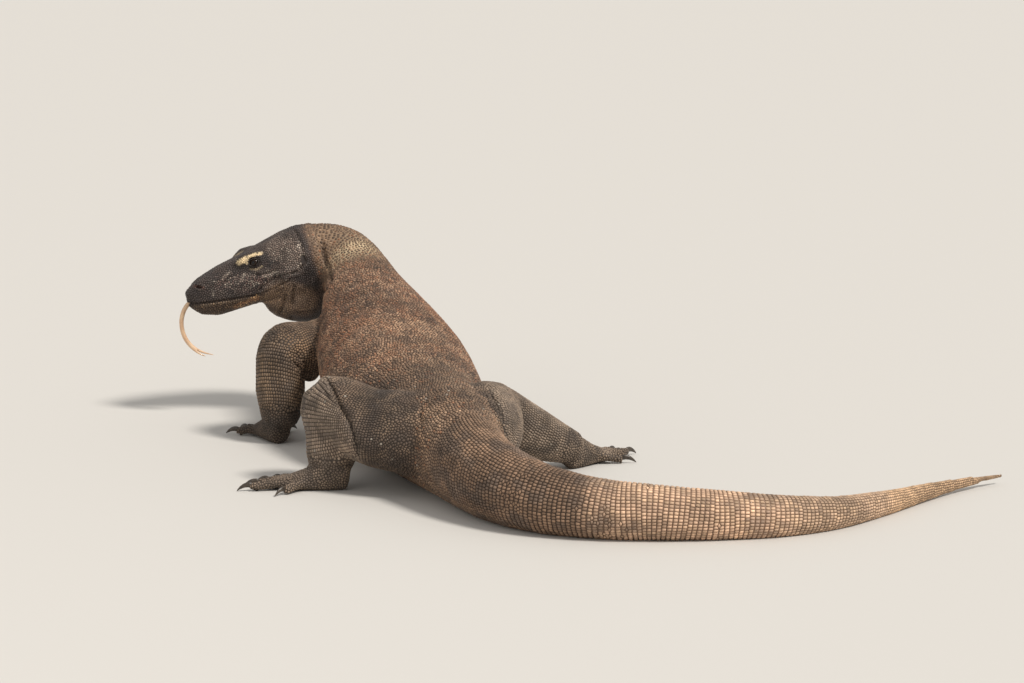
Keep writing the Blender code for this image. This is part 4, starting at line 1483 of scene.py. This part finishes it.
# how much of its own ground a scale covers, along the body and across it
SEAM = {"head": (0.91, 0.91), "lower_jaw": (0.91, 0.91), "neck": (0.89, 0.89),
        "trunk": (0.92, 0.92), "hips": (0.91, 0.92), "thigh": (0.88, 0.90),
        "tail_base": (0.90, 0.96), "tail_middle": (0.92, 0.98), "tail_end": (0.92, 0.97),
        "tail_tip": (0.91, 0.95), "upper_arm": (0.94, 0.88), "forearm": (0.95, 0.87),
        "shin": (0.96, 0.87), "fore_foot": (0.88, 0.88), "hind_foot": (0.88, 0.88)}
LONGEST = 0.74  # farthest corner, as a share of the pitch
SAME_WAY, AHEAD_ENOUGH = 0.2, 0.15  # cosines that let a neighbour count
NAPE_SHRINK = 0.13  # the net of the nape is wide
LEAST_RISE, LUCKY_RISE = 0.85, 0.3


def part_line(name):
    """The line that the scales of a part lie along."""
    return LINES["skull" if name in HEAD else "spine" if name in BODY else name]


def lie_and_chart():
    """For each root the way its scale points, and its place on an unrolled map of its part."""
    lie = np.zeros_like(root_places)
    chart = np.zeros((len(root_places), 2))
    for name, number in part_number.items():
        mine = np.flatnonzero(root_owner == number)
        if not len(mine):
            continue
        line = part_line(name)
        along, turn = line.place(root_places[mine])
        for axis in range(3):
            lie[mine, axis] = np.interp(along, line.along, line.ahead[:, axis])
        chart[mine] = np.stack([turn, along], axis=1)
    lie -= root_normals * (lie * root_normals).sum(1)[:, None]
    return lie / (np.linalg.norm(lie, axis=1)[:, None] + 1e-9), chart


def outlines(lie, across):
    """How far each of the eight corners goes."""
    tree = tree_of(root_places)
    near = np.array([[number for _, number, _ in tree.find_n(place, NEIGHBOURS)][1:]
                     for place in root_places])
    offset = root_places[near] - root_places[:, None]
    gap = (offset ** 2).sum(2)
    same_side = (root_normals[near] * root_normals[:, None]).sum(2) > SAME_WAY
    along = (offset * lie[:, None]).sum(2)
    sideways = (offset * across[:, None]).sum(2)
    seams = by_part(SEAM)[root_owner]
    reach = []
    for ahead, aside in zip(root_turns[:, :, 0].T, root_turns[:, :, 1].T):
        towards = along * ahead[:, None] + sideways * aside[:, None]
        sound = same_side & (towards > AHEAD_ENOUGH * np.sqrt(gap))
        limit = np.where(sound, gap / 2 / np.maximum(towards, 1e-6), 1.0)
        seam = np.hypot(seams[:, 0] * ahead, seams[:, 1] * aside)
        reach.append(np.minimum(limit.min(1), LONGEST * root_pitch) * seam)
    return np.stack(reach, axis=1)


def corner_directions():
    """Along and across: eight even directions, or those of an oblong in the narrow rings."""
    turns = np.arange(CORNERS) * 2 * math.pi / CORNERS
    wide = by_part(ACROSS, 1.0)[root_owner][:, None]
    oblong = np.stack([np.cos(turns) + 0 * wide, np.sin(turns) * wide], axis=2)
    return oblong / np.linalg.norm(oblong, axis=2)[:, :, None]


root_lie, root_chart = lie_and_chart()
root_across = np.cross(root_normals, root_lie)
root_turns = corner_directions()
root_nape = skin.at(nape, root_places, root_faces)
root_reach = outlines(root_lie, root_across) * (1 - NAPE_SHRINK * root_nape)[:, None]
root_luck = chance.random(len(root_places))
root_rise = root_pitch * RISE * (LEAST_RISE + LUCKY_RISE * root_luck)
print("mean reach", round(float(root_reach.mean()) * 1000, 2), "mm")

# %% [markdown]
# ## No two scales alike
# Wear and shed skin leave each scale its own colour. On the trunk some scales are rust or tan
# and some are dark, which makes its fine mottling. The temples and the snout are sprinkled with
# pale flecks, one scale each, and dried mud leaves a few specks on the hips and hind legs.

# %% Colour of each scale
def sprinkle(tones, colour, share_of_scales, amount):
    """Gives that share of the scales a colour of their own, more or less strongly."""
    picked = chance.random(len(tones)) < share_of_scales
    paint(tones, colour, picked * amount * (0.5 + 0.5 * chance.random(len(tones))))


def here(*kinds):
    """Which roots are on parts of those kinds."""
    return in_kinds(root_owner, *kinds)


def oval(share, height, half_share, half_height):
    """A soft oval on the side of the head."""
    return np.exp(-((head_share - share) / half_share) ** 2
                  - ((head_height - height) / half_height) ** 2)


root_crown = skin.at(crown_tone, root_places, root_faces)
root_gap = skin.at(gap_tone, root_places, root_faces)
_, head_share, head_height = head_places(root_places)
temple = here("head") * oval(0.85, 0.032, 0.11, 0.022)
cheek = here("head", "lower_jaw") * oval(0.62, -0.004, 0.22, 0.016)
snout = here("head") * oval(0.33, 0.008, 0.16, 0.014)
rim = stroke(root_places, ((0.965, 0.037), (0.962, 0.020), (0.945, 0.010), (0.90, 0.003)), 0.0045)
flush = stroke(root_places, ((0.33, -0.045), (0.42, -0.040), (0.53, -0.037)), 0.006)
brow = stroke(root_places, ((0.48, 0.035), (0.56, 0.040), (0.66, 0.040)), 0.006)
flecks = fade(clouds(root_places, 0.009), 0.35, 0.75)
blush = fade(clouds(root_places, 0.012), 0.4, 0.85)
paint(root_crown, (0.360, 0.265, 0.215), flecks * temple * 0.75)
paint(root_gap, (0.150, 0.112, 0.092), flecks * temple * 0.75)
paint(root_crown, PALE, blush * (rim * 0.8 + temple * 0.30 + cheek * 0.50 + snout * 0.20))
paint(root_gap, (0.130, 0.100, 0.085), blush * (rim + cheek * 0.60))
paint(root_crown, (0.220, 0.130, 0.110), flecks * (cheek * 0.50 + snout * 0.30))
sprinkle(root_crown, PALE, temple * 0.10 + cheek * 0.05 + snout * 0.05 + rim * 0.20, 0.8)
sprinkle(root_crown, (0.62, 0.38, 0.20), flush * 0.40, 0.9)
sprinkle(root_crown, (0.030, 0.022, 0.018), brow * 0.06 + flush * 0.20, 0.9)
sprinkle(root_crown, (0.300, 0.200, 0.120), here("lower_jaw", "neck") * 0.16, 0.6)
sprinkle(root_crown, RUST, here("trunk") * 0.12 + here("neck") * 0.12 + here("hips") * 0.07, 0.6)
sprinkle(root_crown, TAN, here("trunk", "neck") * 0.14 + here("hips") * 0.08, 0.7)
sprinkle(root_crown, (0.050, 0.036, 0.028), here("trunk", "neck", "hips") * 0.20, 0.7)
sprinkle(root_crown, (0.34, 0.30, 0.25), here("thigh", "shin", "hips") * 0.004, 0.9)
print("scales with colours of their own:", len(root_crown))

# %% [markdown]
# ## The coat in pieces
# Each piece of coat stays under two hundred thousand triangles. Beside its shape it carries
# the height in the scale, a number of luck for each scale, and both colours. Its own map for
# baking puts each scale as a small patch at its root's place on the unrolled part.

# %% Build the coat
PATCH = 0.0015  # half the size of a scale's patch on the map
MAP_MARGIN, STRIP_MARGIN = 0.01, 0.02
WHOLE = (-181, 181)  # degrees from the top; the animal's left is positive
COAT = {"head_scales": (HEAD, WHOLE), "neck_scales": (["neck"], WHOLE),
        "right_flank_scales": (["trunk"], (-181, -48)), "back_scales": (["trunk"], (-48, 48)),
        "left_flank_scales": (["trunk"], (48, 181)),
        "hip_scales": (["hips"], WHOLE), "tail_scales": (["tail_base", "tail_middle"], WHOLE),
        "tail_end_scales": (["tail_end", "tail_tip"], WHOLE)}
for side in ("left_", "right_"):
    for leg, chain in LEGS.items():
        COAT[side + leg + "_scales"] = ([side + part for part in chain], WHOLE)


def put_values(mesh, name, values):
    """A number or a colour for each corner of the mesh."""
    coloured = values.ndim > 1
    layer = mesh.attributes.new(name, "FLOAT_COLOR" if coloured else "FLOAT", "POINT")
    if coloured:
        values = np.concatenate([values, np.ones((len(values), 1))], axis=1)
    layer.data.foreach_set("color" if coloured else "value", values.astype(np.float32).ravel())


def put_tones(mesh, crown, luck, tone, gap):
    """What the finish of the hide reads at each corner: height, luck and both colours."""
    put_values(mesh, "crown", crown)
    put_values(mesh, "luck", luck)
    put_values(mesh, "tone", tone)
    put_values(mesh, "gap_tone", gap)


def map_places(mine):
    """Places on the map: charts of the parts side by side, each in its own strip."""
    parts = np.unique(root_owner[mine])
    places = np.zeros((len(mine), 2))
    for strip, part in enumerate(parts):
        inside = root_owner[mine] == part
        chart = root_chart[mine][inside]
        low, high = chart.min(0), chart.max(0)
        share = (chart - low) / np.maximum(high - low, 1e-6)
        places[inside, 0] = MAP_MARGIN + 0.98 * share[:, 0]
        places[inside, 1] = (strip + STRIP_MARGIN + 0.96 * share[:, 1]) / len(parts)
    return places


def coat_points(mine):
    """The corners of every copy of the pattern scale, cut to its outline and set on its root."""
    turns = np.arctan2(SCALE_PLACES[:, 1], SCALE_PLACES[:, 0])
    corner = np.round(turns / (2 * math.pi / CORNERS)).astype(int) % CORNERS
    out = np.hypot(SCALE_PLACES[:, 0], SCALE_PLACES[:, 1])
    level = SCALE_PLACES[:, 2]
    reach = (root_reach[mine][:, corner] * out)[:, :, None]
    return (root_places[mine][:, None]
            + root_lie[mine][:, None] * reach * root_turns[mine][:, corner, :1]
            + root_across[mine][:, None] * reach * root_turns[mine][:, corner, 1:]
            + root_normals[mine][:, None] * (root_rise[mine][:, None] * level)[:, :, None])


def coat_piece(name, mine):
    """One ordinary mesh of all the scales whose roots are mine."""
    count = len(SCALE_PLACES)
    sizes = [len(face) for face in SCALE_FACES]
    pattern = np.array([v for face in SCALE_FACES for v in face])
    each = np.arange(len(mine))[:, None]
    loops = (pattern[None] + each * count).ravel()
    lengths = np.tile(sizes, len(mine))
    mesh = bpy.data.meshes.new(name)
    mesh.vertices.add(len(mine) * count)
    mesh.loops.add(len(loops))
    mesh.polygons.add(len(lengths))
    mesh.vertices.foreach_set("co", coat_points(mine).astype(np.float32).ravel())
    mesh.loops.foreach_set("vertex_index", loops.astype(np.int32))
    starts = np.concatenate([[0], np.cumsum(lengths)[:-1]])
    mesh.polygons.foreach_set("loop_start", starts.astype(np.int32))
    mesh.update(calc_edges=True)
    mesh.shade_smooth()
    own = [np.repeat(rows[mine], count, axis=0) for rows in (root_luck, root_crown, root_gap)]
    put_tones(mesh, np.tile(np.clip(SCALE_PLACES[:, 2], 0, 1), len(mine)), *own)
    spots = (map_places(mine)[:, None] + PATCH * SCALE_PLACES[None, :, :2]).reshape(-1, 2)
    layer = mesh.uv_layers.new(name="OFBake")
    layer.data.foreach_set("uv", spots[loops].astype(np.float32).ravel())
    return new_object(name, mesh)


def coat_members(parts, sector):
    """The roots of those parts whose angle from the top lies in the sector."""
    turn = np.degrees(root_chart[:, 0])
    mine = np.isin(root_owner, [part_number[name] for name in parts])
    return np.flatnonzero(mine & (turn >= sector[0]) & (turn < sector[1]))


coat = {name: coat_piece(name, coat_members(*what)) for name, what in COAT.items()}
triangles_each = sum(len(face) - 2 for face in SCALE_FACES)
print({name: len(coat_members(*what)) * triangles_each for name, what in COAT.items()})

# %% [markdown]
# ## The hide's finish
# Skin and scales share one finish. The gap colour, partly painted shade, shows at the foot of
# a scale and over the bare skin, and the crown colour on top, where the horn is worn pale and
# dry. Cloudy noise makes patches, the luck of each scale makes its neighbours differ, and a fine
# grain breaks up the shine.

# %% Hide material
CLOUD_SIZE, BLOTCH_SIZE, GRAIN_SIZE = 0.09, 0.022, 0.0009
SHINE = 0.4
BODY_ROUGHNESS, HEAD_ROUGHNESS = 0.60, 0.43


def add_node(tree, kind, inputs=None, **settings):
    """A new node with its settings made and its inputs fed."""
    made = tree.nodes.new("ShaderNode" + kind)
    for name, value in settings.items():
        setattr(made, name, value)
    feed(tree, made, inputs or {})
    return made


def mixed(tree, factor, first, second):
    """A colour mix of two sockets or colours, which are inputs 6 and 7 of the node."""
    first, second = (end if isinstance(end, bpy.types.NodeSocket) else (*end, 1)
                     for end in (first, second))
    made = add_node(tree, "Mix", {0: factor, 6: first, 7: second}, data_type="RGBA")
    return made.outputs[2]


def ranged(tree, value, low, high, out_low, out_high):
    """The value with the range from low to high stretched to another range."""
    inputs = {0: value, 1: low, 2: high, 3: out_low, 4: out_high}
    return add_node(tree, "MapRange", inputs).outputs[0]


def times(tree, first, second):
    return add_node(tree, "Math", {0: first, 1: second}, operation="MULTIPLY").outputs[0]


def noise(tree, place, size, detail=3.0):
    """Cloudy noise whose clouds are about that many metres across."""
    inputs = {"Vector": place, "Scale": 1 / size, "Detail": detail}
    return add_node(tree, "TexNoise", inputs).outputs[0]


def value_of(tree, name, output="Fac"):
    """What the mesh carries under that name."""
    return add_node(tree, "Attribute", attribute_name=name).outputs[output]


def scaled(tree, colour, strength):
    inputs = {0: colour, "Scale": strength}
    return add_node(tree, "VectorMath", inputs, operation="SCALE").outputs[0]


def place_in(tree):
    return add_node(tree, "TexCoord").outputs["Object"]


def hide_material(name, roughness):
    """The finish of skin and scales, from what the mesh carries and some noise."""
    made, tree, shader = shader_material(name)
    place = place_in(tree)
    cloud = ranged(tree, noise(tree, place, CLOUD_SIZE), 0.32, 0.68, 0.72, 1.28)
    blotch = ranged(tree, noise(tree, place, BLOTCH_SIZE), 0.3, 0.7, 0.82, 1.18)
    luck = ranged(tree, value_of(tree, "luck"), 0, 1, 0.74, 1.26)
    strength = times(tree, times(tree, cloud, blotch), luck)
    crown = scaled(tree, value_of(tree, "tone", "Color"), strength)
    gap = scaled(tree, value_of(tree, "gap_tone", "Color"), cloud)
    # low on a scale the gap colour shows: the darker skin, with painted shade in the crevices
    height = ranged(tree, value_of(tree, "crown"), 0.15, 0.8, 0, 1)
    grain = noise(tree, place, GRAIN_SIZE, 2.0)
    relief = add_node(tree, "Bump", {"Strength": 0.35, "Distance": 0.0004, "Height": grain})
    feed(tree, shader, {"Base Color": mixed(tree, height, gap, crown),
                        "Roughness": ranged(tree, grain, 0.3, 0.7,
                                            roughness - 0.08, roughness + 0.1),
                        "Specular IOR Level": SHINE, "Normal": relief.outputs[0]})
    return made


body_hide = hide_material("scaly_hide", BODY_ROUGHNESS)
head_hide = hide_material("head_hide", HEAD_ROUGHNESS)
hide = new_object("hide", flesh)
flesh.materials.clear()
flesh.materials.append(body_hide)
flesh.shade_smooth()
# the bare skin takes only the gap colour, with its painted shade
put_tones(flesh, np.zeros(len(skin.points)), np.full(len(skin.points), 0.5),
          crown_tone, gap_tone)
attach(hide, "root")
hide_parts(*FLESH)
for name, piece in coat.items():
    on_skull = name == "head_scales"
    piece.data.materials.append(head_hide if on_skull else body_hide)
    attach(piece, "root")
print("hide:", len(flesh.loop_triangles), "triangles")

# %% [markdown]
# ## Eyes
# A monitor's eye is a dark ball, wet and round, with a round pupil in an iris so brown that it
# looks nearly black, and a clear swelling in front. The ball is a sphere with its pole to the
# front, so its rings of faces run round the pupil, and a number from the pole to the back tells
# the finish where the iris ends.

# %% Eyeballs
CORNEA_RISE, CORNEA_WIDTH = 0.035, 0.17  # shares of the radius, and of the way to the back
PUPIL_EDGE, IRIS_EDGE = (0.085, 0.10), (0.20, 0.23)


def add_eyeball(name):
    """A ball with a swollen front, turned to the gaze."""
    centre, gaze = (Vector(axis) for axis in eye_axes(name)[:2])
    form = bmesh.new()
    bmesh.ops.create_uvsphere(form, u_segments=40, v_segments=32, radius=EYE_RADIUS)
    rim = []
    for vertex in form.verts:
        share = math.acos(max(-1, min(1, vertex.co.z / EYE_RADIUS))) / math.pi
        rim.append(share)
        vertex.co *= 1 + CORNEA_RISE * math.exp(-(share / CORNEA_WIDTH) ** 2)
    turn = gaze.to_track_quat("Z", "Y").to_matrix().to_4x4()
    bmesh.ops.transform(form, matrix=turn, verts=form.verts)
    bmesh.ops.translate(form, verts=form.verts, vec=centre)
    ball = mesh_object(name + "ball", form)
    put_values(ball.data, "from_pupil", np.array(rim))
    ball.data.shade_smooth()
    return ball


def eye_material():
    """Pupil, streaky iris and dark rim, told apart by the way from the pupil."""
    made, tree, shader = shader_material("wet_eye")
    streak = noise(tree, place_in(tree), 0.0012, 2.0)
    iris = mixed(tree, streak, (0.010, 0.005, 0.003), (0.024, 0.012, 0.006))
    rim = value_of(tree, "from_pupil")
    pupil = ranged(tree, rim, *PUPIL_EDGE, 0, 1)
    colour = mixed(tree, pupil, (0.003, 0.002, 0.002), iris)
    white = ranged(tree, rim, *IRIS_EDGE, 0, 1)
    colour = mixed(tree, white, colour, (0.006, 0.004, 0.003))
    feed(tree, shader, {"Base Color": colour, "Roughness": 0.10, "Specular IOR Level": 0.22,
                        "Coat Weight": 0.15, "Coat Roughness": 0.03})
    return made


eye_finish = eye_material()
for name in EYES:
    ball = add_eyeball(name)
    ball.data.materials.append(eye_finish)
    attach(ball, "root")
    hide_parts(name)
print("eyes", EYE_RADIUS * 2000, "mm across")

# %% [markdown]
# ## Claws, tongue and eardrums
# Each is a copy of its solid with its doubled corners merged and its faces made finer and
# smoother. Claws are curved dark horn, worn paler in patches. The tongue is moist and pinkish
# cream. The eardrum is a thin dark membrane at the bottom of its pit.

# %% Horn, tongue and membrane
def smooth_copy(name, new_name, levels):
    """A copy of a solid with its corners merged and its faces divided that many times."""
    form = bmesh.new()
    form.from_mesh(nodes[name].data)
    bmesh.ops.remove_doubles(form, verts=form.verts, dist=MERGED)
    bmesh.ops.recalc_face_normals(form, faces=form.faces)
    made = mesh_object(new_name, form)
    finer = made.modifiers.new("finer", "SUBSURF")
    finer.levels = finer.render_levels = levels
    made.data.shade_smooth()
    return made


def plain_finish(name, first, second, size, roughness, coat=0.0):
    """Two colours in clouds of that size, with a fine relief."""
    made, tree, shader = shader_material(name)
    place = place_in(tree)
    cloud = ranged(tree, noise(tree, place, size), 0.35, 0.65, 0, 1)
    relief = add_node(tree, "Bump", {"Strength": 0.3, "Distance": 0.0003,
                                     "Height": noise(tree, place, size / 8, 2.0)})
    feed(tree, shader, {"Base Color": mixed(tree, cloud, first, second),
                        "Roughness": roughness, "Coat Weight": coat,
                        "Normal": relief.outputs[0]})
    return made


def dress(piece, node, finish):
    """Gives a piece its finish, and lets it stand in for its solid."""
    piece.data.materials.clear()
    piece.data.materials.append(finish)
    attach(piece, "root")
    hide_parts(node)


horn = plain_finish("claw_horn", (0.030, 0.022, 0.017), (0.085, 0.066, 0.050), 0.006, 0.34)
moist = plain_finish("moist_tongue", (0.66, 0.42, 0.26), (0.76, 0.53, 0.335), 0.010, 0.34, 0.4)
membrane = plain_finish("ear_membrane", (0.026, 0.019, 0.016), (0.050, 0.037, 0.031), 0.004, 0.7)
for node in sorted(nodes):
    if "claw" in node:
        dress(smooth_copy(node, node + "_horn", 1), node, horn)
    elif "eardrum" in node:
        dress(smooth_copy(node, node + "_membrane", 2), node, membrane)
dress(smooth_copy("tongue", "forked_tongue", 2), "tongue", moist)
print("horn on", sum("claw" in node for node in nodes), "claws")
